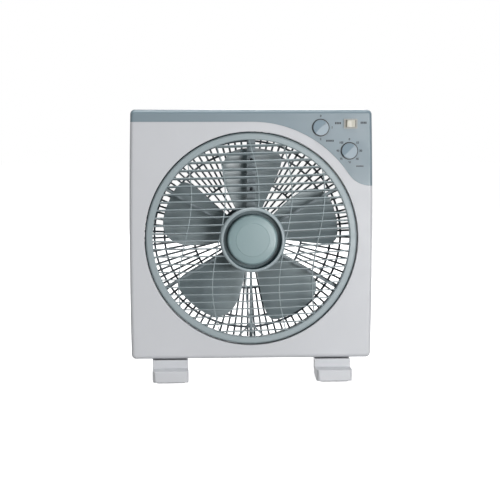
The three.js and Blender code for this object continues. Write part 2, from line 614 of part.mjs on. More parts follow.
function foot(x) {
  const top = FOOT_H - 2;
  const toe = footSlab([
    [-FOOT_REACH, FOOT_SOLE], [-FOOT_REACH, 17.8], [-FOOT_REACH + 1.6, 19.2], [FRONT_Y - 1, 19.8],
    [FRONT_Y - 1, top], [20, top], [20, ARCH_Z], [TOE_SOLE - FOOT_REACH, FOOT_SOLE],
  ], x, FOOT_W);
  const heel = footSlab([
    [15, top], [56, top], [FOOT_REACH - 3, 16], [FOOT_REACH, 13], [FOOT_REACH, FOOT_SOLE],
    [FOOT_REACH - HEEL_SOLE, FOOT_SOLE], [15, ARCH_Z - 1],
  ], x, HEEL_W);
  const pad = block(x - 15, x + 15, 8, 96, top - 1, FOOT_H - GAP);
  let piece = join(toe, heel, pad);
  const nose = new THREE.Shape(); // the toe's plan, with its two front corners cut back
  const half = FOOT_W / 2;
  nose.moveTo(-half, 40);
  nose.lineTo(-half, -FOOT_REACH + 6);
  nose.lineTo(-half + 5.5, -FOOT_REACH);
  nose.lineTo(half - 5.5, -FOOT_REACH);
  nose.lineTo(half, -FOOT_REACH + 6);
  nose.lineTo(half, 100);
  nose.lineTo(-half, 100);
  const plan = new THREE.ExtrudeGeometry(nose, { depth: FOOT_H + 20, bevelEnabled: false });
  piece = piece.intersect(solid(plan.translate(x, 0, -10)));
  for (const d of FOOT_SCREW_DS) {
    piece = cut(piece, post(2.3, x, d, 0, FOOT_H + 10), post(4.6, x, d, -1, FOOT_H - 9));
  }
  return piece;
}

function footPad(x, y, width, length) {
  const geometry = new THREE.BoxGeometry(width, length, FOOT_SOLE - GAP);
  return solid(geometry.translate(x, y, (FOOT_SOLE - GAP) / 2));
}

// An upright screw with its head down, up through the foot into the housing.
function footScrew(x, d) {
  const profile = [[0, -12.5], [3.2, -12.5], [4.2, -11.5], [4.2, -9.3], [SCREW_R, -9.3], [SCREW_R, 10], [0, 10]];
  const geometry = new THREE.LatheGeometry(profile.map(([r, z]) => new THREE.Vector2(r, FOOT_H + z)), 8);
  return solid(geometry.rotateX(Math.PI / 2).translate(x, at(d), 0));
}

// ---------------------------------------------------------------- materials

const finish = (color, roughness, metalness = 0) => new THREE.MeshStandardMaterial({ color, roughness, metalness });
const MATERIALS = {
  shell: finish('#c8c9ce', 0.42),
  fascia: finish('#8b9ba6', 0.4),
  grille: finish('#959fa4', 0.45),
  hubCap: finish('#8ea5a8', 0.35),
  blades: finish('#5d686c', 0.3),
  guard: finish('#56636b', 0.5),
  bracket: finish('#7d878c', 0.5),
  knob: finish('#9fb0ba', 0.35),
  ivory: finish('#ddd9cb', 0.35),
  black: finish('#23262a', 0.55),
  rubber: finish('#3a3c3e', 0.85),
  sole: finish('#a9aaac', 0.8),
  steel: finish('#a9adb0', 0.35, 1),
  darkSteel: finish('#3a3f44', 0.4, 1),
  copper: finish('#a35a2b', 0.4, 0.9),
  bronze: finish('#9a7b46', 0.5, 0.9),
  wire: finish('#d9d9d6', 0.5),
  capacitor: finish('#e4e4e0', 0.5),
};

// ---------------------------------------------------------------- assembly

const group = (...names) => Object.fromEntries(names.map((name) => [name, new THREE.Group()]));
const fan = new THREE.Group();
const bodies = group('housing', 'grille', 'wheel', 'speed', 'timer', 'rocker');
fan.add(...Object.values(bodies));

function add(body, name, piece, material) {
  const mesh = new THREE.Mesh(geometryOf(piece), MATERIALS[material]);
  mesh.name = name;
  bodies[body].add(mesh);
}

add('housing', 'front_shell', frontShell(), 'shell');
add('housing', 'control_panel', fascia(), 'fascia');
add('housing', 'rear_shell', rearShell(), 'shell');
add('housing', 'rear_guard', rearGuard(), 'guard');
add('housing', 'louvre_bracket', louvreBracket(), 'bracket');
add('housing', 'lead_cover', leadCover(), 'bracket');
CHANNEL_SCREW_RS.forEach((r, i) => add('housing', `cover_screw_${i + 1}`, coverScrew(r), 'darkSteel'));
add('housing', 'louvre_motor', louvreMotor(), 'steel');
add('housing', 'louvre_motor_lead', lead(louvreLeadRoute, 1.1), 'wire');

add('housing', 'motor_front_cover', motorFrontCover(), 'steel');
add('housing', 'motor_rear_cover', motorRearCover(), 'steel');
add('housing', 'stator_core', statorCore(), 'darkSteel');
add('housing', 'winding_front', winding(62.3, 69.6), 'copper');
add('housing', 'winding_rear', winding(82.4, 88.6), 'copper');
add('housing', 'bearing_front', bearing(60.4, 66.5), 'bronze');
add('housing', 'bearing_rear', bearing(85.6, 91.2), 'bronze');
add('housing', 'motor_lead', lead(motorLeadRoute, 1.8), 'wire');
MOTOR_SCREWS.forEach(([x, z], i) => {
  add('housing', `motor_screw_${i + 1}`, screwAlongY(x, z, GUARD_D + GUARD_T + 2.3, 10), 'steel');
});

add('housing', 'speed_switch', controlBox(SPEED_AT, 15, 20), 'black');
add('housing', 'timer', controlBox(TIMER_AT, 20.5, 28), 'black');
add('housing', 'rocker_housing', rockerHousing(), 'ivory');
add('housing', 'capacitor', capacitor(), 'capacitor');
add('housing', 'terminal_block', terminalBlock(), 'capacitor');
add('housing', 'cord_gland', cordGland(), 'rubber');
SHELL_SCREWS.forEach(([x, z], i) => {
  add('housing', `shell_screw_${i + 1}`, screwAlongY(x, z, BODY_D - 3.6, 62), 'steel');
});

for (const [side, x] of [['left', -FOOT_X], ['right', FOOT_X]]) {
  add('housing', `foot_${side}`, foot(x), 'shell');
  const front = footPad(x, 1.5 + TOE_SOLE / 2 - FOOT_REACH, 44, TOE_SOLE - 2);
  const rear = footPad(x, FOOT_REACH - HEEL_SOLE / 2, 30, HEEL_SOLE - 5);
  add('housing', `foot_pad_${side}_front`, front, 'sole');
  add('housing', `foot_pad_${side}_rear`, rear, 'sole');
  FOOT_SCREW_DS.forEach((d, i) => add('housing', `foot_screw_${side}_${i + 1}`, footScrew(x, d), 'steel'));
}

add('grille', 'louvre_grille', louvreGrille(), 'grille');
add('grille', 'hub_cap', hubCap(), 'hubCap');
add('grille', 'louvre_nut', louvreNut(), 'steel');
add('grille', 'louvre_shaft', louvreShaft(), 'steel');

add('wheel', 'fan_wheel', fanWheel(), 'blades');
add('wheel', 'fan_nut', fanNut(), 'black');
add('wheel', 'motor_shaft', motorShaft(), 'steel');
add('wheel', 'rotor_core', rotorCore(), 'darkSteel');

add('speed', 'speed_knob', knob(SPEED_AT), 'knob');
add('speed', 'speed_switch_shaft', knobShaft(SPEED_AT), 'steel');
add('timer', 'timer_knob', knob(TIMER_AT), 'knob');
add('timer', 'timer_shaft', knobShaft(TIMER_AT), 'steel');
add('rocker', 'rocker_button', rockerButton(), 'ivory');

export default fan;
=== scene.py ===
import json
from math import atan2, cos, hypot, pi, radians, sin, sqrt, tan

import bmesh
import bpy
from mathutils import Matrix, Vector


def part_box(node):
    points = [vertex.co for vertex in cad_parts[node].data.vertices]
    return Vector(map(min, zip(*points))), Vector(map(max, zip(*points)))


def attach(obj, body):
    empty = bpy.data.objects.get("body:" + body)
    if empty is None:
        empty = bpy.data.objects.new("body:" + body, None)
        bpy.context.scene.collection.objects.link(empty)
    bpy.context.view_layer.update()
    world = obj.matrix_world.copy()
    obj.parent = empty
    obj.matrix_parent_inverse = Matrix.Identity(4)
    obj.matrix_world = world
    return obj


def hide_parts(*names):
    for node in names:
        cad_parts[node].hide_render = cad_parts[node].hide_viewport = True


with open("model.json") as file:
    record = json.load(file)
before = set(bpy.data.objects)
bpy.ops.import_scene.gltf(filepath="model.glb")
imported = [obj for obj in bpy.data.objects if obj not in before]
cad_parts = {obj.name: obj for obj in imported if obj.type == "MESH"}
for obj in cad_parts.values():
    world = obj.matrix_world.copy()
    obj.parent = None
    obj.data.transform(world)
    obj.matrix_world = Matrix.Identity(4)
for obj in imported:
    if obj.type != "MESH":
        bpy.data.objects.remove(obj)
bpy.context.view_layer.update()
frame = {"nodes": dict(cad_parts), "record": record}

MM = 0.001
WELD = 2e-6  # points closer than this, in metres, become one


def middle(node):
    """The middle of a CAD node's box, in millimetres."""
    low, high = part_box(node)
    return (low + high) / 2 / MM


def low_high(node):
    """The two corners of a CAD node's box, in millimetres."""
    low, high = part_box(node)
    return low / MM, high / MM


# ---- dimensions

SHELL_LOW, SHELL_HIGH = low_high("front_shell")
FRONT_Y = SHELL_LOW.y
AXIS_Z = middle("motor_shaft").z
CROWN = 2.1  # how far the two sides bow out at their middles
BODY_W = SHELL_HIGH.x - SHELL_LOW.x - 2 * CROWN
BODY_BOTTOM = SHELL_LOW.z
BODY_TOP = SHELL_HIGH.z
BODY_D = low_high("rear_shell")[1].y - FRONT_Y
SPLIT_D = SHELL_HIGH.y - FRONT_Y
CORNER_R = 7.5
FRONT_EDGE = 6
REAR_EDGE = 6.5
WALL = 3.2
OPENING_R = 169
COLLAR_R = 171.4
GAP = 0.3  # between neighbouring pieces
FASCIA_R = 184.3  # of the arc along the panel's lower edge
FASCIA_TAIL = 83.3  # how far above the axis the panel ends at the right
FASCIA_T = 1.5
FASCIA_WRAP = 46
SHELL_SCREWS = [middle(f"shell_screw_{i}") for i in range(1, 5)]

GRILLE_R = 167
RIM_R = 156
RIM_GROOVE_R = 164.5  # from here outwards the bracket is dark: painted shade for the shadow in the gap round the grille
HUB_R = 51
HUB_BORE_R = 45.8
HUB_FRONT = -26
CAP_R = 39.3
SLAT_PITCH = 12.2
SLATS_EACH_WAY = 12
WAVE_PITCH = 52.6
WAVE_SWING = 12.3
DOME_RISE = 27
DOME_FOOT = 2
GRILLE_TURN = radians(1.6)
SLAT_W, SLAT_D = 1.7, 8.6
SLAT_LEAN, LEAN_GAIN = 13, 0.08  # degrees, and degrees more for each millimetre above the axis
WAVE_RIB_W, WAVE_RIB_D = 1.5, 7.6

WHEEL_TURN = radians(1.5)
BLADE_TIP_R = 142
BLADE_ROOT_R = 35
BLADE_HALF_ANGLE = radians(26)
BLADE_MIDDLE_D = 41
BLADE_PITCH = 13  # how far the leading and the trailing edge lie behind and before the middle
BLADE_CAMBER = 3.5

SPEED_AT = middle("speed_switch_shaft")
TIMER_AT = middle("timer_shaft")
ROCKER_AT = middle("rocker_housing")
KNOB_R = 12.3
ROCKER_PIVOT_D = 1.5
ROCKER_TILT = radians(10)
MARK_R = 18.1  # from a knob's middle to the numbers round it
MARK_BOLD = 0.24


def at(d):
    """The y of a depth."""
    return FRONT_Y + d


# ---- camera


def camera():
    lens = bpy.data.cameras.new("camera")
    obj = bpy.data.objects.new("camera", lens)
    bpy.context.scene.collection.objects.link(obj)
    azimuth, elevation = radians(-3.9), radians(5)
    distance, seen_width = 2.75, 0.7896
    target = Vector((-0.0027, FRONT_Y * MM, 0.2069))
    away = Vector((sin(azimuth) * cos(elevation), -cos(azimuth) * cos(elevation), sin(elevation)))
    obj.location = target + away * distance
    obj.rotation_euler = (-away).to_track_quat("-Z", "Y").to_euler()
    lens.sensor_width = 36
    lens.lens = lens.sensor_width * distance / seen_width
    lens.clip_start, lens.clip_end = 0.05, 60
    bpy.context.scene.camera = obj


camera()


# ---- forms: (vertices, faces) in millimetres


def joined(forms):
    """Several forms as one."""
    verts, faces = [], []
    for form_verts, form_faces in forms:
        start = len(verts)
        verts += form_verts
        faces += [tuple(start + i for i in face) for face in form_faces]
    return verts, faces


def moved(form, matrix):
    return [tuple(matrix @ Vector(v)) for v in form[0]], form[1]


def loft(rings, closed=False):
    """Quads between rings with equal counts. A closed loft joins its last ring to its first, and an open one
    gets a cap at both ends."""
    n, m = len(rings[0]), len(rings)
    verts = [tuple(p) for ring in rings for p in ring]
    faces = []
    for i in range(m if closed else m - 1):
        a, b = i * n, ((i + 1) % m) * n
        faces += [(a + j, a + (j + 1) % n, b + (j + 1) % n, b + j) for j in range(n)]
    if not closed:
        faces += [tuple(range(n)), tuple(range((m - 1) * n, m * n))]
    return verts, faces


def rounded(points, radius=1.0, steps=5):
    """A closed polygon with its corners rounded. A point may carry its own radius as a third value."""
    out = []
    n = len(points)
    for i, point in enumerate(points):
        p = Vector(point[:2])
        r = point[2] if len(point) > 2 else radius
        to_last, to_next = Vector(points[i - 1][:2]) - p, Vector(points[(i + 1) % n][:2]) - p
        if r <= 0 or to_last.length < 1e-6 or to_next.length < 1e-6:
            out.append(tuple(p))
            continue
        half = to_last.angle(to_next) / 2
        if half > radians(89) or half < radians(1):
            out.append(tuple(p))
            continue
        reach = min(r / tan(half), 0.48 * to_last.length, 0.48 * to_next.length)
        r = reach * tan(half)
        centre = p + (to_last.normalized() + to_next.normalized()).normalized() * (r / sin(half))
        start = p + to_last.normalized() * reach - centre
        end = p + to_next.normalized() * reach - centre
        a0, turn = atan2(start.y, start.x), start.angle_signed(end)
        for k in range(steps + 1):
            a = a0 - turn * k / steps
            out.append((centre.x + r * cos(a), centre.y + r * sin(a)))
    return out


def lathe(profile, segments=128, x=0.0, z=None):
    """A closed profile of (radius, depth) turned about the line along Y through (x, z)."""
    z = AXIS_Z if z is None else z
    rings = []
    for i in range(segments):
        a = 2 * pi * i / segments
        rings.append([(x + r * cos(a), at(d), z + r * sin(a)) for r, d in profile])
    return loft(rings, closed=True)


def prism(points, d0, d1):
    """An outline in x and z carried from depth d0 to d1."""
    return loft([[(x, at(d), z) for x, z in points] for d in (d0, d1)])


def rectangle(x, z, width, height, radius, steps=6):
    w, h = width / 2, height / 2
    return rounded([(x - w, z - h), (x + w, z - h), (x + w, z + h), (x - w, z + h)], radius, steps)


def circle(x, z, r, count=48):
    return [(x + r * cos(2 * pi * i / count), z + r * sin(2 * pi * i / count)) for i in range(count)]


def from_centre(angle, r):
    """The point in x and z at this angle and distance from the fan's axis."""
    return r * cos(angle), AXIS_Z + r * sin(angle)


def pad_section(width, height, radius, turn=0.0):
    """A small rounded rectangle about the origin, turned by turn."""
    points = rectangle(0, 0, width, height, radius, 3)
    return [(p * cos(turn) - q * sin(turn), p * sin(turn) + q * cos(turn)) for p, q in points]


# ---- meshes and objects


def mesh_of(name, form, painted_light=None):
    """A welded mesh of a form. The third argument gives each of the form's points how much painted light the
    blades' plastic takes there.
    """
    verts, faces = form
    mesh = bpy.data.meshes.new(name)
    mesh.from_pydata([Vector(v) * MM for v in verts], [], faces)
    if painted_light:
        layer = mesh.attributes.new("painted_light", "FLOAT", "POINT")
        layer.data.foreach_set("value", painted_light)
    work = bmesh.new()
    work.from_mesh(mesh)
    bmesh.ops.remove_doubles(work, verts=work.verts, dist=WELD)
    bmesh.ops.delete(work, geom=[e for e in work.edges if not e.link_faces], context="EDGES")
    bmesh.ops.delete(work, geom=[v for v in work.verts if not v.link_faces], context="VERTS")
    bmesh.ops.recalc_face_normals(work, faces=work.faces)
    work.to_mesh(mesh)
    work.free()
    return mesh


def linked(name, mesh):
    obj = bpy.data.objects.new(name, mesh)
    bpy.context.scene.collection.objects.link(obj)
    return obj


def applied(obj):
    """Replaces obj's mesh by what its modifiers make of it."""
    graph = bpy.context.evaluated_depsgraph_get()
    mesh = bpy.data.meshes.new_from_object(obj.evaluated_get(graph), depsgraph=graph)
    obj.modifiers.clear()
    obj.data = mesh


def boolean(obj, form, operation="DIFFERENCE"):
    """Cuts a form out of obj, adds it, or keeps what they share."""
    tool = linked("tool", form if isinstance(form, bpy.types.Mesh) else mesh_of("tool", form))
    change = obj.modifiers.new("cut", "BOOLEAN")
    change.object, change.operation, change.solver = tool, operation, "EXACT"
    applied(obj)
    bpy.data.objects.remove(tool)


def smoothed(obj, angle=35, bevel=0.0, segments=2):
    """Bevels the sharp edges if asked, then shades obj smooth between edges sharper than angle."""
    if bevel:
        edge = obj.modifiers.new("bevel", "BEVEL")
        edge.width, edge.segments, edge.limit_method = bevel * MM, segments, "ANGLE"
        edge.angle_limit, edge.use_clamp_overlap = radians(38), True
        edge.miter_outer = "MITER_ARC"
        applied(obj)
    obj.data.shade_smooth()
    obj.data.set_sharp_from_angle(angle=radians(angle))
    weights = obj.modifiers.new("normals", "WEIGHTED_NORMAL")
    weights.keep_sharp, weights.weight = True, 50


def finish(obj, name, material, body, slot, *nodes):
    """Names a piece, gives it its material, ties it to its body and hides the CAD nodes it stands for. slot
    is not used.
    """
    obj.name = name
    obj.data.materials.clear()
    obj.data.materials.append(material)
    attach(obj, body)
    if nodes:
        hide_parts(*nodes)


def piece(name, forms, material, body, slot, *nodes, angle=35):
    """One piece made straight from a form or a list of forms."""
    obj = linked(name, mesh_of(name, joined(forms) if isinstance(forms, list) else forms))
    smoothed(obj, angle)
    finish(obj, name, material, body, slot, *nodes)


# ---- materials


def srgb(text):
    """A linear colour from a #rrggbb text."""
    channels = [int(text[i:i + 2], 16) / 255 for i in (1, 3, 5)]
    return [c / 12.92 if c <= 0.04045 else ((c + 0.055) / 1.055) ** 2.4 for c in channels] + [1.0]


class Nodes:
    """A material's node tree, with short ways to add the nodes that the finishes share."""

    def __init__(self, name):
        self.material = bpy.data.materials.new(name)
        self.material.use_nodes = True
        self.tree = self.material.node_tree
        self.shader = self.tree.nodes["Principled BSDF"]
        self.place = self.add("ShaderNodeTexCoord").outputs["Object"]

    def add(self, kind, **values):
        node = self.tree.nodes.new(kind)
        for key, value in values.items():
            if hasattr(node, key):
                setattr(node, key, value)
            else:
                node.inputs[key.replace("_", " ")].default_value = value
        return node

    def link(self, output, socket):
        self.tree.links.new(output, socket)

    def noise(self, scale, detail, roughness=0.5):
        node = self.add("ShaderNodeTexNoise", Scale=scale, Detail=detail, Roughness=roughness)
        self.link(self.place, node.inputs["Vector"])
        return node.outputs["Fac"]

    def range(self, value, low, high, start=0.3, end=0.7):
        node = self.add("ShaderNodeMapRange")
        self.link(value, node.inputs["Value"])
        for key, number in (("From Min", start), ("From Max", end), ("To Min", low), ("To Max", high)):
            node.inputs[key].default_value = number
        return node.outputs["Result"]

    def from_axis(self, start, end):
        """Runs from 0 to 1 between two distances from the fan's axis, in millimetres."""
        offset = self.add("ShaderNodeVectorMath", operation="MULTIPLY_ADD")
        self.link(self.place, offset.inputs[0])
        offset.inputs[1].default_value = (1, 0, 1)
        offset.inputs[2].default_value = (0, 0, -AXIS_Z * MM)
        length = self.add("ShaderNodeVectorMath", operation="LENGTH")
        self.link(offset.outputs["Vector"], length.inputs[0])
        return self.range(length.outputs["Value"], 0.0, 1.0, start * MM, end * MM)

    def mix(self, factor, a, b):
        node = self.add("ShaderNodeMix", data_type="RGBA")
        self.link(factor, node.inputs["Factor"])
        for value, socket in ((a, node.inputs[6]), (b, node.inputs[7])):
            if hasattr(value, "links"):
                self.link(value, socket)
            else:
                socket.default_value = value
        return node.outputs[2]

    def bump(self, height, strength, distance, normal=None):
        node = self.add("ShaderNodeBump", Strength=strength, Distance=distance)
        self.link(height, node.inputs["Height"])
        if normal:
            self.link(normal, node.inputs["Normal"])
        return node.outputs["Normal"]

    def set(self, **values):
        for key, value in values.items():
            self.shader.inputs[key.replace("_", " ")].default_value = value


def shade(colour, factor):
    return [min(1.0, c * factor) for c in colour[:3]] + [1.0]


# The colour of painted shade in the gap round the grille and in the groove round the hub cap.
PAINTED_SHADE_COLOUR = "#27454c"


def plastic(name, colour, roughness, variation, grain=0.12, coat=0.0, dark=None):
    """Moulded plastic: faint flow clouds in its colour, a fine spark-eroded grain, and patchy handling gloss.
    dark gives two distances from the fan's axis: the plastic is dark at and past the first, painted shade for
    the shadow that falls in a groove, and plain at and past the second."""
    n = Nodes(name)
    base = srgb(colour)
    clouds = n.range(n.noise(9.0, 4.0, 0.55), 0.0, 1.0)
    tone = n.mix(clouds, shade(base, 1 - variation), shade(base, 1 + variation))
    if dark:
        # Painted shade: the plastic turns dark across the given distances from the axis, for the shadow in a
        # groove.
        tone = n.mix(n.from_axis(*dark), srgb(PAINTED_SHADE_COLOUR), tone)
    specks = n.range(n.noise(2600.0, 1.0), 0.0, 0.22, 0.62, 0.74)
    n.link(n.mix(specks, tone, shade(base, 0.9)), n.shader.inputs["Base Color"])
    gloss = n.noise(38.0, 6.0, 0.6)
    n.link(n.range(gloss, roughness - 0.05, roughness + 0.07), n.shader.inputs["Roughness"])
    fine = n.bump(n.noise(1500.0, 3.0, 0.6), grain, 0.00008)
    waves = n.bump(n.noise(14.0, 1.0), 0.05, 0.0006, fine)
    n.link(waves, n.shader.inputs["Normal"])
    n.set(Coat_Weight=coat, Coat_Roughness=0.12, IOR=1.55)
    return n.material


def metal(name, colour, roughness, grain=0.1):
    """Plated or sintered metal: clouds in its colour, and a fine grain in its gloss and its relief."""
    n = Nodes(name)
    base = srgb(colour)
    clouds = n.range(n.noise(120.0, 5.0, 0.6), 0.0, 1.0)
    n.link(n.mix(clouds, shade(base, 0.84), shade(base, 1.08)), n.shader.inputs["Base Color"])
    height = n.noise(900.0, 4.0, 0.6)
    n.link(n.range(height, roughness - 0.08, roughness + 0.14), n.shader.inputs["Roughness"])
    n.link(n.bump(height, grain, 0.0001), n.shader.inputs["Normal"])
    n.set(Metallic=1.0)
    return n.material


def banded(name, colour, dark, period, roughness, metallic=1.0):
    """Sheets or wires laid side by side along Y: dark gaps and rounded crests."""
    n = Nodes(name)
    wave = n.add("ShaderNodeTexWave", wave_type="BANDS", bands_direction="Y")
    for key, number in (("Scale", 1 / period), ("Distortion", 0.6), ("Detail", 1.0)):
        wave.inputs[key].default_value = number
    n.link(n.place, wave.inputs["Vector"])
    crests = wave.outputs["Fac"]
    tone = n.mix(n.range(crests, 0, 1, 0.1, 0.6), srgb(dark), srgb(colour))
    n.link(tone, n.shader.inputs["Base Color"])
    n.link(n.range(n.noise(300.0, 4.0), roughness - 0.06, roughness + 0.1), n.shader.inputs["Roughness"])
    n.link(n.bump(crests, 0.7, 0.0002), n.shader.inputs["Normal"])
    n.set(Metallic=metallic)
    return n.material


def blade_plastic():
    """Tinted plastic with painted light that makes it lighter towards the root and the trailing edge."""
    n = Nodes("blade_plastic")
    span = n.add("ShaderNodeAttribute", attribute_name="painted_light").outputs["Fac"]
    clouds = n.range(n.noise(16.0, 3.0), -0.06, 0.06)
    total = n.add("ShaderNodeMath", operation="ADD")
    n.link(span, total.inputs[0])
    n.link(clouds, total.inputs[1])
    # Painted light: the tone runs lighter towards the root and the trailing edge.
    tone = n.mix(total.outputs["Value"], srgb("#778488"), srgb("#abb7ba"))
    n.link(tone, n.shader.inputs["Base Color"])
    n.link(n.range(n.noise(60.0, 5.0), 0.3, 0.4), n.shader.inputs["Roughness"])
    n.link(n.bump(n.noise(10.0, 2.0), 0.06, 0.001), n.shader.inputs["Normal"])
    n.set(IOR=1.5)
    return n.material


def rubber(name, colour):
    """Dull rubber with blotches and a coarse grain."""
    n = Nodes(name)
    base = srgb(colour)
    tone = n.mix(n.range(n.noise(200.0, 5.0), 0, 1), shade(base, 0.8), shade(base, 1.25))
    n.link(tone, n.shader.inputs["Base Color"])
    n.link(n.range(n.noise(500.0, 4.0), 0.7, 0.9), n.shader.inputs["Roughness"])
    n.link(n.bump(n.noise(1800.0, 3.0), 0.3, 0.0001), n.shader.inputs["Normal"])
    return n.material


# Where painted shade darkens the bracket in the gap round the grille, and the grille in the groove round the
# hub cap.
RIM_SHADE = (RIM_GROOVE_R + 0.1, RIM_GROOVE_R - 0.1)
HUB_SHADE = (HUB_BORE_R + 0.15, HUB_BORE_R + 0.3)
LOOKS = {
    "shell": plastic("shell_plastic", "#c3c5c9", 0.42, 0.015),
    "fascia": plastic("fascia_plastic", "#74858e", 0.38, 0.02),
    "guard": plastic("guard_plastic", "#4b565e", 0.5, 0.04),
    "bracket": plastic("bracket_plastic", "#7b868b", 0.5, 0.03, dark=RIM_SHADE),
    "grille": plastic("grille_plastic", "#929fa3", 0.42, 0.02, dark=HUB_SHADE),
    "hub_cap": plastic("cap_plastic", "#80979a", 0.36, 0.02),
    "blades": blade_plastic(),
    "knob": plastic("knob_plastic", "#8596a1", 0.34, 0.02, 0.06),
    "ivory": plastic("ivory_plastic", "#d3d0c4", 0.33, 0.02, 0.05, 0.2),
    "bezel": plastic("bezel_plastic", "#8a8c88", 0.36, 0.02, 0.05),
    "black_plastic": plastic("black_plastic", "#24272a", 0.5, 0.08),
    "rubber": rubber("gland_rubber", "#34363a"),
    "sole": rubber("sole_rubber", "#a9aaac"),
    "steel": metal("plated_steel", "#b3b7ba", 0.32),
    "dark_steel": metal("black_steel", "#33373b", 0.42),
    "copper": banded("winding_wire", "#b0673a", "#4c2412", 0.0016, 0.35, 0.9),
    "bronze": metal("sintered_bronze", "#a08150", 0.5, grain=0.4),
    "white_plastic": plastic("white_plastic", "#dededa", 0.45, 0.02),
}
LAMINATIONS = banded("core_laminations", "#7d8184", "#2b2e31", 0.0011, 0.4)
PRINT = plastic("panel_print", "#1f2b35", 0.5, 0.05)


# ---- housing


def outline(inset, side=44, corner=8):
    """The housing's outline, drawn in by inset. Its two sides bow out a little."""
    w = BODY_W / 2 - inset
    b, t = BODY_BOTTOM + inset, BODY_TOP - inset
    r = CORNER_R - inset
    low, high = b + r, t - r
    points = []

    def run(p, q, bow):
        for k in range(side):
            s = k / side
            lift = 4 * s * (1 - s)
            points.append(tuple(p[i] + (q[i] - p[i]) * s + bow[i] * lift for i in (0, 1)))

    def turn(cx, cz, start):
        for k in range(corner):
            a = radians(start + 90 * k / corner)
            points.append((cx + r * cos(a), cz + r * sin(a)))

    run((-w + r, b), (w - r, b), (0, 0))
    turn(w - r, low, -90)
    run((w, low), (w, high), (CROWN, 0))
    turn(w - r, high, 0)
    run((w - r, t), (-w + r, t), (0, 0))
    turn(-w + r, high, 90)
    run((-w, high), (-w, low), (-CROWN, 0))
    turn(-w + r, low, 180)
    return points


ANGLES = [atan2(z - AXIS_Z, x) for x, z in outline(0)]


def outline_ring(inset, d):
    return [(x, at(d), z) for x, z in outline(inset)]


def round_ring(r, d):
    """A circle about the fan's axis whose points lie in the same directions as the outline's."""
    return [(r * cos(a), at(d), AXIS_Z + r * sin(a)) for a in ANGLES]


def edge_rings(inset, edge, d, sign, steps=8):
    """Rings round the edge where the side meets a face at depth d. sign is 1 in front and -1 behind."""
    rings = []
    for k in range(steps + 1):
        a = pi / 2 * k / steps
        rings.append(outline_ring(inset + edge * (1 - cos(a)), d + sign * edge * (1 - sin(a))))
    return rings


def body_form(inset, d0, d1, edge):
    """The housing's solid form, drawn in by inset, from a rounded front face at d0 to a flat end at d1."""
    return loft([outline_ring(inset, d1)] + edge_rings(inset, edge, d0, 1))


def fascia_outline(gap):
    """The region of the panel: a strip along the top that follows the opening and runs out at the right."""
    r = FASCIA_R - gap
    top_angle, end_angle = radians(90), radians(35.3)
    end = Vector((cos(end_angle), sin(end_angle))) * r
    away = Vector((sin(end_angle), -cos(end_angle))) * 16
    tail = FASCIA_TAIL - gap
    far = 260  # well outside the housing
    points = [(-far, r)]
    for k in range(65):
        a = top_angle + (end_angle - top_angle) * k / 64
        points.append((r * cos(a), r * sin(a)))
    p = [end, end + away, Vector((168, tail)), Vector((192, tail))]
    for k in range(1, 25):
        t = k / 24
        q = (1 - t) ** 3 * p[0] + 3 * t * (1 - t) ** 2 * p[1] + 3 * t * t * (1 - t) * p[2] + t ** 3 * p[3]
        points.append((q.x, q.y))
    points += [(far, tail), (far, far), (-far, far)]
    return [(x, AXIS_Z + z) for x, z in points]


def make_front_shell():
    rings = [outline_ring(0.5, SPLIT_D), outline_ring(0, SPLIT_D - 0.5), outline_ring(0, 28)]
    rings += edge_rings(0, FRONT_EDGE, 0, 1)
    lip, seat = 1.2, SPLIT_D - 4
    for k in range(5):
        a = pi / 2 * k / 4
        rings.append(round_ring(OPENING_R + lip * (1 - sin(a)), lip * (1 - cos(a))))
    for r, d in ((OPENING_R, 24), (OPENING_R, seat), (COLLAR_R, seat), (COLLAR_R, WALL)):
        rings.append(round_ring(r, d))
    rings += edge_rings(WALL, FRONT_EDGE - WALL, WALL, 1, 3)[::-1]
    rings += [outline_ring(WALL, SPLIT_D)]
    shell = linked("front_shell_body", mesh_of("shell", loft(rings, closed=True)))
    groove = linked("groove", mesh_of("groove", body_form(-1, -1, SPLIT_D + 2, FRONT_EDGE + 1)))
    boolean(groove, prism(fascia_outline(GAP), -8, FASCIA_WRAP + GAP), "INTERSECT")
    under = FASCIA_T + GAP
    boolean(groove, body_form(under, under, SPLIT_D + 4, FRONT_EDGE - under))
    boolean(shell, groove.data.copy())
    bpy.data.objects.remove(groove)
    for hole in control_holes():
        boolean(shell, hole)
    smoothed(shell, 35, 0.25)
    finish(shell, "shell_front", LOOKS["shell"], "housing", "shell", "front_shell")


def control_holes():
    """What is cut through the panel for the two shafts and the rocker."""
    front, back = -3, WALL + 2
    holes = [prism(circle(knob.x, knob.z, 5.2), front, back) for knob in (SPEED_AT, TIMER_AT)]
    return holes + [prism(rectangle(ROCKER_AT.x, ROCKER_AT.z, 19.6, 13.6, 1), front, back)]


def make_panel():
    panel = linked("panel", mesh_of("panel", body_form(0, 0, SPLIT_D, FRONT_EDGE)))
    boolean(panel, prism(fascia_outline(0), -8, FASCIA_WRAP), "INTERSECT")
    boolean(panel, body_form(FASCIA_T, FASCIA_T, SPLIT_D + 4, FRONT_EDGE - FASCIA_T))
    for hole in control_holes():
        boolean(panel, hole)
    for knob in (SPEED_AT, TIMER_AT):
        boolean(panel, prism(circle(knob.x, knob.z, KNOB_R + 1.7, 96), -3, 0.8))
    smoothed(panel, 35, 0.22)
    finish(panel, "panel_skin", LOOKS["fascia"], "housing", "fascia", "control_panel")


GUARD_R = 170.6
GRIP_W, GRIP_D = 104, 34


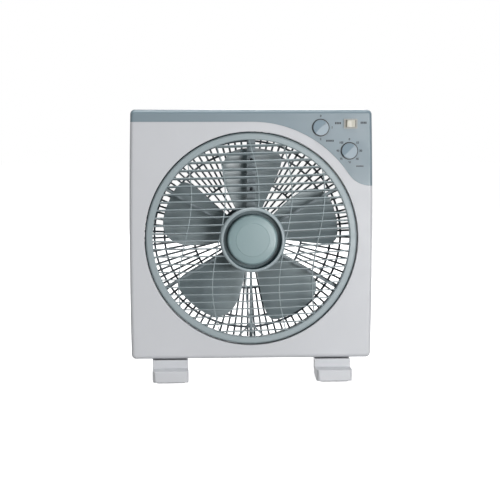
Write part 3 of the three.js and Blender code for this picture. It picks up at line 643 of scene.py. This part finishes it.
def make_rear_shell():
    start, inner = SPLIT_D + GAP, BODY_D - WALL
    seat_r, seat_d, lip_r = GUARD_R + GAP, 97.9, 168.5
    rings = [outline_ring(0.5, start), outline_ring(0, start + 0.5), outline_ring(0, 78)]
    rings += edge_rings(0, REAR_EDGE, BODY_D, -1)
    # A shallow raised ring frames the guard's seat.
    for r, d in ((181, BODY_D), (179.5, BODY_D - 1.2), (174.5, BODY_D - 1.2), (173.4, BODY_D - 0.4)):
        rings.append(round_ring(r, d))
    for r, d in ((171.6, BODY_D - 0.4), (seat_r, BODY_D - 1.1), (seat_r, seat_d), (lip_r, seat_d)):
        rings.append(round_ring(r, d))
    rings += [round_ring(lip_r, start + 2), round_ring(173.4, start + 2), round_ring(173.4, inner)]
    rings += edge_rings(WALL, REAR_EDGE - WALL, inner, -1, 3)[::-1]
    rings += [outline_ring(WALL, start)]
    shell = linked("rear", mesh_of("rear", loft(rings, closed=True)))
    grip_low = BODY_TOP - 24
    pocket = prism(rectangle(0, grip_low + 8.5, GRIP_W + 5, 22, 5), BODY_D - GRIP_D - 2.5, BODY_D - 1)
    boolean(shell, pocket, "UNION")
    boolean(shell, prism(rectangle(0, grip_low + 9.6, GRIP_W, 18.8, 4), BODY_D - GRIP_D, BODY_D + 3))
    for screw in SHELL_SCREWS:
        boss = prism(circle(screw.x, screw.z, 6), start + GAP, BODY_D - 1)
        boolean(shell, boss, "UNION")
        boolean(shell, prism(circle(screw.x, screw.z, 4.6), BODY_D - 6, BODY_D + 3))
        boolean(shell, prism(circle(screw.x, screw.z, 2.15), start - 2, BODY_D))
    gland = middle("cord_gland")
    boolean(shell, prism(circle(gland.x, gland.z, 6.6), BODY_D - 9, BODY_D + 3))
    smoothed(shell, 35, 0.25)
    finish(shell, "shell_rear", LOOKS["shell"], "housing", "shell", "rear_shell")


# ---- rear guard


GUARD_FRONT, GUARD_BACK = 93.5, 97.5
GUARD_HUB_R = 46.5
GUARD_RINGS = (88, 135.5, 152)  # the ribs double at the first
GUARD_FLANGE_R = 168.3
GUARD_RING_W = 3.3
INNER_RIBS, INNER_RIB_W = 45, 2.7
OUTER_RIBS, OUTER_RIB_W = 2 * INNER_RIBS, 3.0


def bar(p, q, width, d0, d1, top=0.5):
    """A straight bar between two points in x and z, rounded at its back edges."""
    along = (Vector(q) - Vector(p)).normalized()
    side = Vector((-along.y, along.x))
    w = width / 2
    section = rounded([(-w, d0, 0.2), (w, d0, 0.2), (w, d1, top), (-w, d1, top)], steps=3)
    return loft([[(c[0] + side.x * s, at(d), c[1] + side.y * s) for s, d in section] for c in (p, q)])


def guard_ring(r0, r1):
    section = [(r0, GUARD_FRONT), (r1, GUARD_FRONT), (r1, GUARD_BACK), (r0, GUARD_BACK)]
    return lathe(rounded(section, 0.6, 3), 180)


def guard_ribs(count, r0, r1, width):
    forms = []
    for i in range(count):
        a = pi / 2 + i * 2 * pi / count
        forms.append(bar(from_centre(a, r0), from_centre(a, r1), width, GUARD_FRONT + 0.3, GUARD_BACK - 0.3))
    return forms


def make_guard():
    forms = [guard_ring(r - GUARD_RING_W / 2, r + GUARD_RING_W / 2) for r in GUARD_RINGS]
    forms.append(guard_ring(GUARD_FLANGE_R, GUARD_R))
    front, back, dish = GUARD_FRONT, GUARD_BACK, GUARD_BACK - 1.2
    hub = [
        (0, front, 0), (GUARD_HUB_R, front), (GUARD_HUB_R, back), (41, back, 1.5),
        (39.5, dish, 1), (14, dish, 1), (12.5, back, 1), (0, back, 0),
    ]
    forms.append(lathe(rounded(hub, 0.8, 3), 120))
    forms += guard_ribs(INNER_RIBS, GUARD_HUB_R - 1.5, GUARD_RINGS[0], INNER_RIB_W)
    forms += guard_ribs(OUTER_RIBS, GUARD_RINGS[0], GUARD_FLANGE_R + 1, OUTER_RIB_W)
    piece("guard_rear", forms, LOOKS["guard"], "housing", "guard", "rear_guard")


# ---- louvre grille


def dome(x, z):
    """Depth of the grille's front at a point, x and z counted from the axis."""
    return DOME_FOOT - DOME_RISE * (1 - min(1, hypot(x, z) / RIM_R) ** 2)


def runs(offset, inner, outer):
    """The stretches of a line at this distance from the axis that lie between the inner and outer circles."""
    far = sqrt(outer ** 2 - offset ** 2)
    if abs(offset) >= inner:
        return [(-far, far)]
    near = sqrt(inner ** 2 - offset ** 2)
    return [(-far, -near), (near, far)]


def slat(z):
    """One slat at height z. The slats lean, and lean more towards the top, where the front curves back."""
    section = pad_section(SLAT_W, SLAT_D, 0.7, radians(SLAT_LEAN + LEAN_GAIN * z))
    forms = []
    for a, b in runs(z, HUB_R - 1, RIM_R + 1.5):
        steps = max(6, round((b - a) / 6))
        rings = []
        for k in range(steps + 1):
            x = a + (b - a) * k / steps
            rings.append([(x, at(dome(x, z) + SLAT_D / 2 + q), AXIS_Z + z + p) for p, q in section])
        forms.append(loft(rings))
    return forms


def wave_rib(x0):
    """An upright rib in an S: it swings right above the axis and left below it, and leaves out the hub."""
    section = pad_section(WAVE_RIB_W, WAVE_RIB_D, 0.6)
    sink = 4.4  # how deep the rib's middle lies behind the grille's front

    def x_at(z):
        return x0 + WAVE_SWING * sin(pi * z / RIM_R)

    reach = RIM_R + 4
    stretches = []
    for z in range(-reach, reach + 1):
        if not HUB_R - 1 <= hypot(x_at(z), z) <= RIM_R + 1.5:
            continue
        if not stretches or z != stretches[-1][-1] + 1:
            stretches.append([])
        stretches[-1].append(z)
    forms = []
    for stretch in stretches:
        heights = stretch[::4]
        if heights[-1] != stretch[-1]:
            heights.append(stretch[-1])
        rings = []
        for z in heights:
            x = x_at(z)
            rings.append([(x + p, at(dome(x, z) + sink + q), AXIS_Z + z) for p, q in section])
        if len(rings) > 1:
            forms.append(loft(rings))
    return forms


def make_grille():
    forms = []
    for i in range(-SLATS_EACH_WAY, SLATS_EACH_WAY + 1):
        forms += slat(i * SLAT_PITCH)
    for i in range(-2, 3):
        forms += wave_rib(i * WAVE_PITCH)
    wall, back, web = 1.8, 12.0, 3.4
    rim = [
        (RIM_R, back), (RIM_R, 1.8), (RIM_R + 1.4, 0.5), (GRILLE_R - 2.2, 0.9), (GRILLE_R, 2.8),
        (GRILLE_R, back), (GRILLE_R - wall, back), (GRILLE_R - wall, web), (RIM_R + wall, web),
        (RIM_R + wall, back),
    ]
    forms.append(lathe(rounded(rim, 0.8, 4), 240))
    web_front, web_back = -11.0, -8.0
    boss_r, boss_bore_r, boss_front, boss_back = 8.0, 3.9, -18.0, -6.5
    hub = [
        (HUB_BORE_R, web_front), (HUB_BORE_R + 0.2, HUB_FRONT + 0.6), (HUB_BORE_R + 1.6, HUB_FRONT),
        (HUB_R - 1.8, HUB_FRONT + 0.2), (HUB_R, HUB_FRONT + 2.4), (HUB_R, web_back), (boss_r, web_back),
        (boss_r, boss_back), (boss_bore_r, boss_back), (boss_bore_r, boss_front), (boss_r, boss_front),
        (boss_r, web_front),
    ]
    forms.append(lathe(rounded(hub, 0.7, 4), 160))
    axis = Vector((0, 0, AXIS_Z))
    turn = Matrix.Translation(axis) @ Matrix.Rotation(-GRILLE_TURN, 4, "Y") @ Matrix.Translation(-axis)
    turned = [moved(form, turn) for form in forms]
    piece("grille_louvre", turned, LOOKS["grille"], "louvre", "grille", "louvre_grille")


def make_hub_cap():
    profile = [
        (0, -25.9, 0), (9, -25.85), (18, -25.7), (25.8, -25.45), (26.6, -24.9), (27.6, -24.85), (32, -24.4),
        (CAP_R - 2.6, -23.7, 1.5), (CAP_R - 0.1, -21.6, 1.2), (CAP_R + 0.7, -11.4, 0.3),
        (CAP_R - 1.3, -11.4, 0.3), (CAP_R - 2.2, -20.8, 0.5), (26, -22.6), (0, -23.4, 0),
    ]
    cap = lathe(rounded(profile, 0.25, 3), 160)
    piece("cap_hub", cap, LOOKS["hub_cap"], "louvre", "hub_cap", "hub_cap", angle=50)


# ---- louvre bracket


SPOKE_START, SPOKE_END = 27.5, 159
SPOKE_FRONT, SPOKE_BACK = 14.8, 19.2
CHANNEL_SCREWS = [middle("cover_screw_1"), middle("cover_screw_2")]


def spoke(degrees, w0, w1):
    """A spoke whose width runs from w0 at its root to w1 at its end, with softened edges."""
    c, s = cos(radians(degrees)), sin(radians(degrees))
    rings = []
    for k in range(9):
        t = k / 8
        r, w = SPOKE_START + (SPOKE_END - SPOKE_START) * t, w0 + (w1 - w0) * t
        section = pad_section(w, SPOKE_BACK - SPOKE_FRONT, 0.6)
        mid = (SPOKE_FRONT + SPOKE_BACK) / 2
        rings.append([(r * c - p * s, at(mid + q), AXIS_Z + r * s + p * c) for p, q in section])
    return loft(rings)


def make_bracket():
    front, step, back = 15, 17, 18.5
    ring = [(157, front), (168.5, front), (168.5, back), (163, back), (163, step), (157, step)]
    cup = [(0, 16.2, 0), (26.4, 16.2), (26.4, -1), (28.5, -1), (28.5, back), (0, back, 0)]
    forms = [lathe(rounded(ring, 0.5, 3), 200), lathe(rounded(cup, 0.6, 3), 96)]
    for degrees in (30, 150, 210, 330):
        forms.append(spoke(degrees, 3.4, 4.4))
    forms.append(spoke(270, 3.2, 5.6))
    for side in (-1, 1):  # the small struts that spread from the bottom spoke to the ring
        start, end = (side * 1.5, AXIS_Z - 138), from_centre(radians(270 + side * 7.5), 158.5)
        forms.append(bar(start, end, 2.6, 15.2, 18.6))
    # The wide top arm has a channel for the lead at its back.
    arm = linked("arm", mesh_of("arm", prism(rectangle(0, AXIS_Z + 93.5, 13, 132, 0.8), 13.2, 20.5)))
    boolean(arm, prism(rectangle(0, AXIS_Z + 95, 8.8, 142, 0.5), 15.6, 24))
    for screw in CHANNEL_SCREWS:
        boolean(arm, prism(circle(0, screw.z, 2.9, 32), 10, 18))
    bracket = linked("bracket", mesh_of("bracket", joined(forms)))
    merged = bmesh.new()
    merged.from_mesh(bracket.data)
    merged.from_mesh(arm.data)
    merged.to_mesh(bracket.data)
    merged.free()
    bpy.data.objects.remove(arm)
    smoothed(bracket, 35)
    finish(bracket, "bracket_louvre", LOOKS["bracket"], "housing", "bracket", "louvre_bracket")


# ---- fan wheel


def tip_share(v):
    """How far out the blade reaches at v, squarer towards its leading edge, at -1, than its trailing edge."""
    n = 9.0 if v < 0 else 2.9
    return (1 - abs(v) ** n) ** (1 / n)


def blade(centre):
    """One blade: a pitched, cambered sheet whose thickness runs out at its edges. Returns the form, and how
    much painted light the plastic takes at each of its points, more towards the trailing edge and the root."""
    across, along = 44, 26
    verts, faces, painted_light = [], [], []
    for side in (-1, 1):
        for i in range(along + 1):
            u = sin(pi / 2 * i / along)
            for j in range(across + 1):
                v = 0.9985 * sin(pi * (j / across - 0.5))
                r = BLADE_ROOT_R - 2 + (BLADE_TIP_R - BLADE_ROOT_R + 2) * tip_share(v) * u
                a = centre + v * BLADE_HALF_ANGLE
                inside = sqrt(max(0.0, 1 - v ** 6)) * sqrt(max(0.0, 1 - u ** 10))
                d = BLADE_MIDDLE_D - v * (1 - 0.18 * u) * BLADE_PITCH - BLADE_CAMBER * (1 - v * v) * u
                d += side * (0.35 + 0.75 * inside)
                verts.append((r * cos(a), at(d), AXIS_Z + r * sin(a)))
                # Painted light: more of it towards the trailing edge and towards the root.
                painted_light.append(0.05 + 0.55 * max(0, v) ** 1.3 + 0.35 * (1 - u) ** 1.5)
    row = across + 1
    size = (along + 1) * row
    for i in range(along):
        for j in range(across):
            a = i * row + j
            faces.append((a, a + 1, a + row + 1, a + row))
            faces.append((size + a, size + a + row, size + a + row + 1, size + a + 1))
    border = list(range(row))
    border += [i * row + across for i in range(1, along + 1)]
    border += [along * row + j for j in range(across - 1, -1, -1)]
    border += [i * row for i in range(along - 1, 0, -1)]
    for k, a in enumerate(border):
        b = border[(k + 1) % len(border)]
        faces.append((a, size + a, size + b, b))
    return (verts, faces), painted_light


def make_wheel():
    root, skirt, bore, sleeve = BLADE_ROOT_R, BLADE_ROOT_R - 2.4, 4.3, 9.0
    hub = [
        (bore, 26.0), (root - 6, 26.0, 2.0), (root, 31.5, 3.0), (root, 55.5), (skirt, 55.5),
        (skirt, 32.5), (root - 6.5, 28.6), (sleeve, 28.6), (sleeve, 44.0), (bore, 44.0),
    ]
    forms = [lathe(rounded(hub, 0.6, 4), 96)]
    # The hub takes an even, middling painted light.
    painted_light = [0.25] * len(forms[0][0])
    for i in range(5):
        form, values = blade(pi / 2 + WHEEL_TURN + i * 2 * pi / 5)
        forms.append(form)
        painted_light += values
    wheel = linked("wheel", mesh_of("wheel", joined(forms), painted_light))
    smoothed(wheel, 40)
    finish(wheel, "wheel_blades", LOOKS["blades"], "wheel", "blades", "fan_wheel")


def make_fan_nut():
    r, bore, back = 10, 4.3, 25.6
    profile = [(0, 20, 0), (6.5, 20.4, 3), (r, 23, 1.5), (r, back), (bore, back), (bore, 21.6), (0, 21.6, 0)]
    forms = [lathe(rounded(profile, 0.5, 3), 64)]
    for i in range(12):
        a = 2 * pi * i / 12
        forms.append(bar(from_centre(a, 8.6), from_centre(a, 10.1), 1.6, 22.6, back))
    piece("nut_fan", forms, LOOKS["black_plastic"], "wheel", "black_plastic", "fan_nut")


# ---- controls


def make_knob(name, centre, body, node):
    """A round knob whose face is two slopes that meet in a rounded grip ridge, and behind it a black ring
    that is painted shade for the shadow round the knob.
    """
    x, z = centre.x, centre.z
    side = rounded([(0, -0.6, 0), (KNOB_R, -0.6, 0.3), (KNOB_R - 0.6, -9, 0.8), (0, -9, 0)], 0.5, 4)
    knob = linked(f"knob_{name}", mesh_of(f"knob_{name}", lathe(side, 128, x, z)))
    reach, ridge, ridge_d = KNOB_R + 3, 1.0, -8.2
    roof = rounded([
        (-reach, 3, 0), (-reach, -2.9, 0), (-ridge, ridge_d, 0.8), (ridge, ridge_d, 0.8), (reach, -5.8, 0),
        (reach, 3, 0),
    ], 0.8, 4)
    along, across = Vector((cos(pi / 4), sin(pi / 4))), Vector((sin(pi / 4), -cos(pi / 4)))
    rings = []
    for t in (-22, 22):
        foot = centre.xz + along * t
        rings.append([(foot.x + across.x * s, at(d), foot.y + across.y * s) for s, d in roof])
    boolean(knob, loft(rings), "INTERSECT")
    boolean(knob, prism(circle(x, z, 3.35, 32), -6, 2))
    # A shallow index groove runs along the upper end of the ridge.
    start, end = centre.xz + along * 5.2, centre.xz + along * 11.2
    boolean(knob, bar(start, end, 0.9, -9.5, -7.8, 0.1))
    smoothed(knob, 30, 0.3)
    finish(knob, f"knob_{name}", LOOKS["knob"], body, "knob", node)
    # Painted shade: a black ring in the recess round the knob stands for the shadow there.
    inner, outer, front, back = 8, KNOB_R + 1.6, 0.15, 0.75
    painted_shade_ring = rounded([(inner, front), (outer, front), (outer, back), (inner, back)], 0.15, 2)
    piece(f"collar_{name}", lathe(painted_shade_ring, 96, x, z), LOOKS["black_plastic"], "housing", "black_plastic")


def make_rocker():
    """The bezel is a flange, a body behind it, a window for the button and three terminals."""
    x, z = ROCKER_AT.x, ROCKER_AT.z
    bezel = linked("bezel", mesh_of("bezel", prism(rectangle(x, z, 21.6, 15.6, 1.6), -1.6, -0.3)))
    boolean(bezel, prism(rectangle(x, z, 18.8, 12.8, 1.0), -0.4, 21), "UNION")
    boolean(bezel, prism(rectangle(x, z, 17.2, 11.6, 0.8), -3, 11))
    for s in (-5, 0, 5):
        boolean(bezel, prism(rectangle(x + s, z, 0.8, 4.8, 0.1), 20.5, 27), "UNION")
    smoothed(bezel, 35, 0.35, 3)
    finish(bezel, "bezel_rocker", LOOKS["bezel"], "housing", "ivory", "rocker_housing")
    half_w, half_h = 8, 5.5

    def face(s):
        """The depth of the button's face at s, counted from its middle. Its pressed end rounds down."""
        end = 5.5 * max(0.0, (-s - 4.6) / 3.4) ** 1.3
        return -2.3 + 0.8 * max(0.0, 1 - abs(s - 2.0) / 6.5) ** 1.6 + end

    points = [(s, face(s)) for s in [-half_w + 2 * half_w * k / 32 for k in range(33)]]
    points += [(half_w, 1.0), (5.2, 5.0), (-5.2, 5.0), (-half_w, 1.0)]
    c, t = cos(ROCKER_TILT), sin(ROCKER_TILT)
    turned = []
    for s, d in points:
        e = d - ROCKER_PIVOT_D
        turned.append((x + s * c + e * t, ROCKER_PIVOT_D + e * c - s * t))
    rings = [[(px, at(d), z + h) for px, d in turned] for h in (-half_h, half_h)]
    button = linked("button", mesh_of("button", loft(rings)))
    smoothed(button, 30, 0.4, 3)
    finish(button, "button_rocker", LOOKS["ivory"], "rocker", "ivory", "rocker_button")


def text_mesh(text, x, z, size):
    """A small number printed on the panel."""
    curve = bpy.data.curves.new("digit", "FONT")
    curve.body, curve.size, curve.extrude, curve.offset = text, size * MM, 0.02 * MM, MARK_BOLD * MM
    curve.align_x, curve.align_y = "CENTER", "CENTER"
    obj = linked("digit", curve)
    obj.matrix_world = Matrix.Translation(Vector((x, at(-0.03), z)) * MM) @ Matrix.Rotation(pi / 2, 4, "X")
    bpy.context.view_layer.update()
    graph = bpy.context.evaluated_depsgraph_get()
    mesh = bpy.data.meshes.new_from_object(obj.evaluated_get(graph), depsgraph=graph)
    mesh.transform(obj.matrix_world)
    bpy.data.objects.remove(obj)
    return mesh


def make_marks():
    work = bmesh.new()
    forms = []

    def number(text, centre, angle, size):
        a = radians(angle)
        work.from_mesh(text_mesh(text, centre.x + MARK_R * sin(a), centre.z + MARK_R * cos(a), size))

    def label(x, z, width, height, bars):
        """A row of small bars in place of a printed word."""
        pitch = width / bars
        for k in range(bars):
            middle_x = x + (k + 0.5) * pitch - width / 2
            forms.append(prism(rectangle(middle_x, z, pitch * 0.86, height, 0.25, 3), -0.05, 0.0))

    for i in range(3):
        number(str(i), SPEED_AT, 90 * i, 4.8)
    for i in range(8):
        number(str(15 * i), TIMER_AT, 45 * i, 4.5)
    label(SPEED_AT.x + 14.7, SPEED_AT.z - 20.7, 12.6, 3.0, 6)
    label(TIMER_AT.x + 16.8, TIMER_AT.z - 24.2, 11.8, 2.2, 6)
    label(ROCKER_AT.x - 19.9, ROCKER_AT.z + 0.8, 10.0, 3.4, 4)
    label(ROCKER_AT.x + 20.6, ROCKER_AT.z + 1.4, 10.0, 3.4, 4)
    marks = mesh_of("marks", joined(forms))
    work.from_mesh(marks)
    work.to_mesh(marks)
    work.free()
    finish(linked("marks", marks), "panel_marks", PRINT, "housing", "black_plastic")


# ---- feet


def make_foot(side):
    low, high = low_high(f"foot_{side}")
    toe_y, heel_y = low.y, high.y
    x = middle(f"foot_pad_{side}_front").x
    half = (high.x - low.x) / 2
    sole, top = low.z, BODY_BOTTOM - GAP
    face, under = FRONT_Y - 1, top - 1.4
    profile = rounded([
        (toe_y, sole, 1.2), (toe_y + 13, sole, 5), (12, 15, 30), (50, sole, 14), (heel_y, sole, 1.2),
        (heel_y, 13, 3), (56, under, 4), (face, under, 1.5), (face, 19.7, 1.0), (toe_y + 1.2, 19.0, 1.5),
    ], 1, 8)
    body = loft([[(x + s, y, z) for y, z in profile] for s in (-half - 4, half + 4)])
    foot = linked("foot", mesh_of("foot", body))
    heel = half - 9.5
    plan = rounded([
        (-half, toe_y, 7), (half, toe_y, 7), (half, -30, 30), (half - 9, 60, 20), (heel, heel_y, 3),
        (-heel, heel_y, 3), (-half + 9, 60, 20), (-half, -30, 30),
    ], 1, 8)
    boolean(foot, loft([[(x + p, q, z) for p, q in plan] for z in (-5, 60)]), "INTERSECT")
    for i in (1, 2):
        screw = middle(f"foot_screw_{side}_{i}")
        hole = circle(screw.x, screw.y, 4.8, 40)
        boolean(foot, loft([[(p, q, z) for p, q in hole] for z in (-3, BODY_BOTTOM - 9)]))
    smoothed(foot, 35, 1.6, 4)
    finish(foot, f"stand_{side}", LOOKS["shell"], "housing", "shell", f"foot_{side}")
    for end in ("front", "rear"):
        make_pad(f"{side}_{end}")


def make_pad(place):
    """A rubber pad: rounded corners, and edges that draw in at the top and the bottom."""
    node = f"foot_pad_{place}"
    low, high = low_high(node)
    c = (low + high) / 2
    corners = rounded([(low.x, low.y), (high.x, low.y), (high.x, high.y), (low.x, high.y)], 3.5, 6)

    def ring(inset, z):
        k = 1 - inset / 9
        return [(c.x + (x - c.x) * k, c.y + (y - c.y) * k, z) for x, y in corners]

    levels = ((0.9, low.z), (0.3, low.z + 0.1), (0, low.z + 0.4), (0, high.z - 0.1), (0.3, high.z))
    rings = [ring(inset, z) for inset, z in levels]
    piece(f"sole_{place}", loft(rings), LOOKS["sole"], "housing", "sole", node, angle=50)


# ---- screws, gland and motor


ALONG_Y, ALONG_Z = 1, 2  # the axes that the screws lie along


def cross_recess(size):
    """The two crossed bars of a screwdriver recess."""
    return [rectangle(0, 0, size, size * 0.26, 0.1, 2), rectangle(0, 0, size * 0.26, size, 0.1, 2)]


def make_screw(node, axis, sign, head_r, slot):
    """A pan-head screw in place of a CAD one. sign tells which way its head looks along its axis."""
    low, high = low_high(node)
    c = (low + high) / 2
    length = (high - low)[axis]
    shank_r, head_h = 1.75, 2.2
    profile = [
        (0, 0, 0), (head_r * 0.72, 0, 1.2), (head_r, 1.3, 0.5), (head_r, head_h, 0.2), (shank_r, head_h, 0.1),
        (shank_r, length - 2, 0.4), (0.6, length, 0.2), (0, length, 0),
    ]
    points = rounded(profile, 0.3, 4)
    rings = []
    for i in range(40):
        a = 2 * pi * i / 40
        rings.append([(r * cos(a), r * sin(a), d) for r, d in points])
    screw = linked(node, mesh_of(node, loft(rings, closed=True)))
    for shape in cross_recess(head_r * 1.15):
        boolean(screw, loft([[(p, q, d) for p, q in shape] for d in (-1, 1.1)]))
    c[axis] = high[axis] if sign > 0 else low[axis]
    turn = Matrix.Rotation(sign * pi / 2, 4, "X") if axis == ALONG_Y else Matrix.Identity(4)
    screw.data.transform(Matrix.Translation(c * MM) @ turn)
    smoothed(screw, 35)
    finish(screw, f"fixing_{node}", LOOKS[slot], "housing", slot, node)


def make_screws():
    for i in range(1, 5):
        make_screw(f"shell_screw_{i}", ALONG_Y, 1, 4.0, "steel")
        make_screw(f"motor_screw_{i}", ALONG_Y, 1, 4.0, "steel")
    for side in ("left", "right"):
        for i in (1, 2):
            make_screw(f"foot_screw_{side}_{i}", ALONG_Z, -1, 4.2, "steel")
    for i in (1, 2):
        make_screw(f"cover_screw_{i}", ALONG_Y, -1, 2.3, "dark_steel")


def make_gland():
    c = middle("cord_gland")
    neck, body, bore = 6.3, 8.4, 3.6
    profile = [
        (bore, 97.5), (body, 97.5), (body, 100.4), (neck, 100.6), (neck, 104.2), (body, 104.4), (8.1, 106.0),
        (6.4, 106.9), (4.6, 107.0), (bore, 106.0),
    ]
    gland = lathe(rounded(profile, 0.4, 4), 72, c.x, c.z)
    piece("gland_cord", gland, LOOKS["rubber"], "housing", "rubber", "cord_gland")


MOTOR_R, MOTOR_IN = 43, 41
CUP_R, CUP_IN = 10.5, 8.4  # the bearing cups of the two covers


def turned_piece(name, profile, radius, steps, segments, look, slot, node):
    """A piece of the motor that is turned about the fan's axis."""
    piece(name, lathe(rounded(profile, radius, steps), segments), look, "housing", slot, node)


def make_motor():
    front = [
        (4.6, 58), (12, 58, 0.5), (13, 59, 0.5), (28, 59, 0.5), (29.5, 58, 0.5), (33, 58.2, 2),
        (MOTOR_R, 63.5, 4), (MOTOR_R, 69.7), (MOTOR_IN, 69.7), (MOTOR_IN, 64.5, 3), (30, 60.6),
        (CUP_R, 60.6), (CUP_R, 66), (CUP_IN, 66), (CUP_IN, 60.4), (4.6, 60.4),
    ]
    cover = linked("cover", mesh_of("cover", lathe(rounded(front, 0.3, 4), 120)))
    for i in range(10):
        a = radians(36 * i + 18)
        vent = prism(rectangle(0, 0, 4.2, 9, 2.0, 5), 55, 62)
        x, z = from_centre(a, 36.5)
        boolean(cover, moved(vent, Matrix.Translation((x, 0, z)) @ Matrix.Rotation(pi / 2 - a, 4, "Y")))
    smoothed(cover, 35)
    finish(cover, "motor_cover_front", LOOKS["steel"], "housing", "steel", "motor_front_cover")
    rear = [
        (0, 93.2, 0), (30, 93.2), (MOTOR_R, 88.5, 4), (MOTOR_R, 82.3), (MOTOR_IN, 82.3), (MOTOR_IN, 87.5, 3),
        (30, 91.4), (CUP_R, 91.4), (CUP_R, 86), (CUP_IN, 86), (CUP_IN, 91.4), (0, 91.4, 0),
    ]
    turned_piece("motor_cover_rear", rear, 0.4, 4, 120, LOOKS["steel"], "steel", "motor_rear_cover")
    core = [(23, 70, 0), (MOTOR_R, 70, 0.3), (MOTOR_R, 82, 0.3), (23, 82, 0)]
    turned_piece("motor_core", core, 0.3, 3, 120, LAMINATIONS, "dark_steel", "stator_core")
    for name, d0, d1 in (("front", 62.3, 69.6), ("rear", 82.4, 88.6)):
        coil = [(24.5, d0), (36.5, d0), (36.5, d1), (24.5, d1)]
        turned_piece(f"motor_coil_{name}", coil, 2.6, 6, 120, LOOKS["copper"], "copper", f"winding_{name}")
    can = [(0, -4, 0), (8, -4), (8, -2.6), (23.5, -2.6, 1), (25.5, -1.6, 1), (25.5, 15.6, 0.8), (0, 15.6, 0)]
    turned_piece("motor_louvre", can, 0.4, 4, 96, LOOKS["steel"], "steel", "louvre_motor")


# ---- build

make_front_shell()
make_panel()
make_rear_shell()
make_guard()
make_grille()
make_hub_cap()
make_bracket()
make_wheel()
make_fan_nut()
make_knob("speed", SPEED_AT, "speed_control", "speed_knob")
make_knob("timer", TIMER_AT, "timer_control", "timer_knob")
make_rocker()
make_marks()
for foot_side in ("left", "right"):
    make_foot(foot_side)
make_screws()
make_gland()
make_motor()

# The CAD nodes that stay get the finish of their slot.
slot_of = {part["node"]: part["material_slot"] for part in frame["record"]["subparts"]}
for node_name, node in frame["nodes"].items():
    if node.hide_render:
        continue
    look = LAMINATIONS if node_name == "rotor_core" else LOOKS[slot_of[node_name]]
    if not node.material_slots:
        node.data.materials.append(look)
    for entry in node.material_slots:
        entry.link = "OBJECT"
        entry.material = look

# ---- floor and light


def floor():
    mesh = bpy.data.meshes.new("floor")
    reach = 9  # metres
    corners = [(-reach, -reach, 0), (reach, -reach, 0), (reach, reach, 0), (-reach, reach, 0)]
    mesh.from_pydata(corners, [], [(0, 1, 2, 3)])
    obj = linked("floor", mesh)
    n = Nodes("floor_white")
    n.set(Base_Color=(0.9, 0.9, 0.9, 1), Roughness=0.9, Specular_IOR_Level=0.1)
    n.set(Emission_Color=(1, 1, 1, 1), Emission_Strength=0.85)
    mesh.materials.append(n.material)
    obj.visible_diffuse = False  # the floor looks white without lighting the fan from below


def area_light(name, place, target, width, height, power):
    lamp = bpy.data.lights.new(name, "AREA")
    lamp.shape, lamp.size, lamp.size_y, lamp.energy = "ELLIPSE", width, height, power
    obj = linked(name, lamp)
    obj.location = place
    obj.rotation_euler = (Vector(target) - Vector(place)).to_track_quat("-Z", "Y").to_euler()


def lights():
    """A studio whose background is white to the camera and dim to everything else, and five lamps."""
    world = bpy.data.worlds.new("studio")
    bpy.context.scene.world = world
    world.use_nodes = True
    tree = world.node_tree
    light, seen = tree.nodes["Background"], tree.nodes.new("ShaderNodeBackground")
    for node, strength in ((light, 0.18), (seen, 1.0)):
        node.inputs["Color"].default_value = (1, 1, 1, 1)
        node.inputs["Strength"].default_value = strength
    path = tree.nodes.new("ShaderNodeLightPath")
    mix = tree.nodes.new("ShaderNodeMixShader")
    tree.links.new(path.outputs["Is Camera Ray"], mix.inputs["Fac"])
    tree.links.new(light.outputs["Background"], mix.inputs[1])
    tree.links.new(seen.outputs["Background"], mix.inputs[2])
    tree.links.new(mix.outputs["Shader"], tree.nodes["World Output"].inputs["Surface"])
    centre = (0, 0, 0.22)
    area_light("key", (0.98, -2.6, 0.2), centre, 1.0, 0.7, 40)
    area_light("left", (-1.95, -2.1, 0.25), centre, 0.4, 1.0, 7)
    area_light("side", (1.75, -2.2, 0.3), (0, 0, 0.25), 2.0, 1.2, 22)
    area_light("top", (-0.1, -0.15, 1.9), centre, 1.2, 1.2, 25)
    area_light("back", (0.6, 2.6, 1.2), centre, 1.4, 1.4, 32)


floor()
lights()
bpy.context.scene.view_settings.view_transform = "Standard"

bpy.context.view_layer.update()
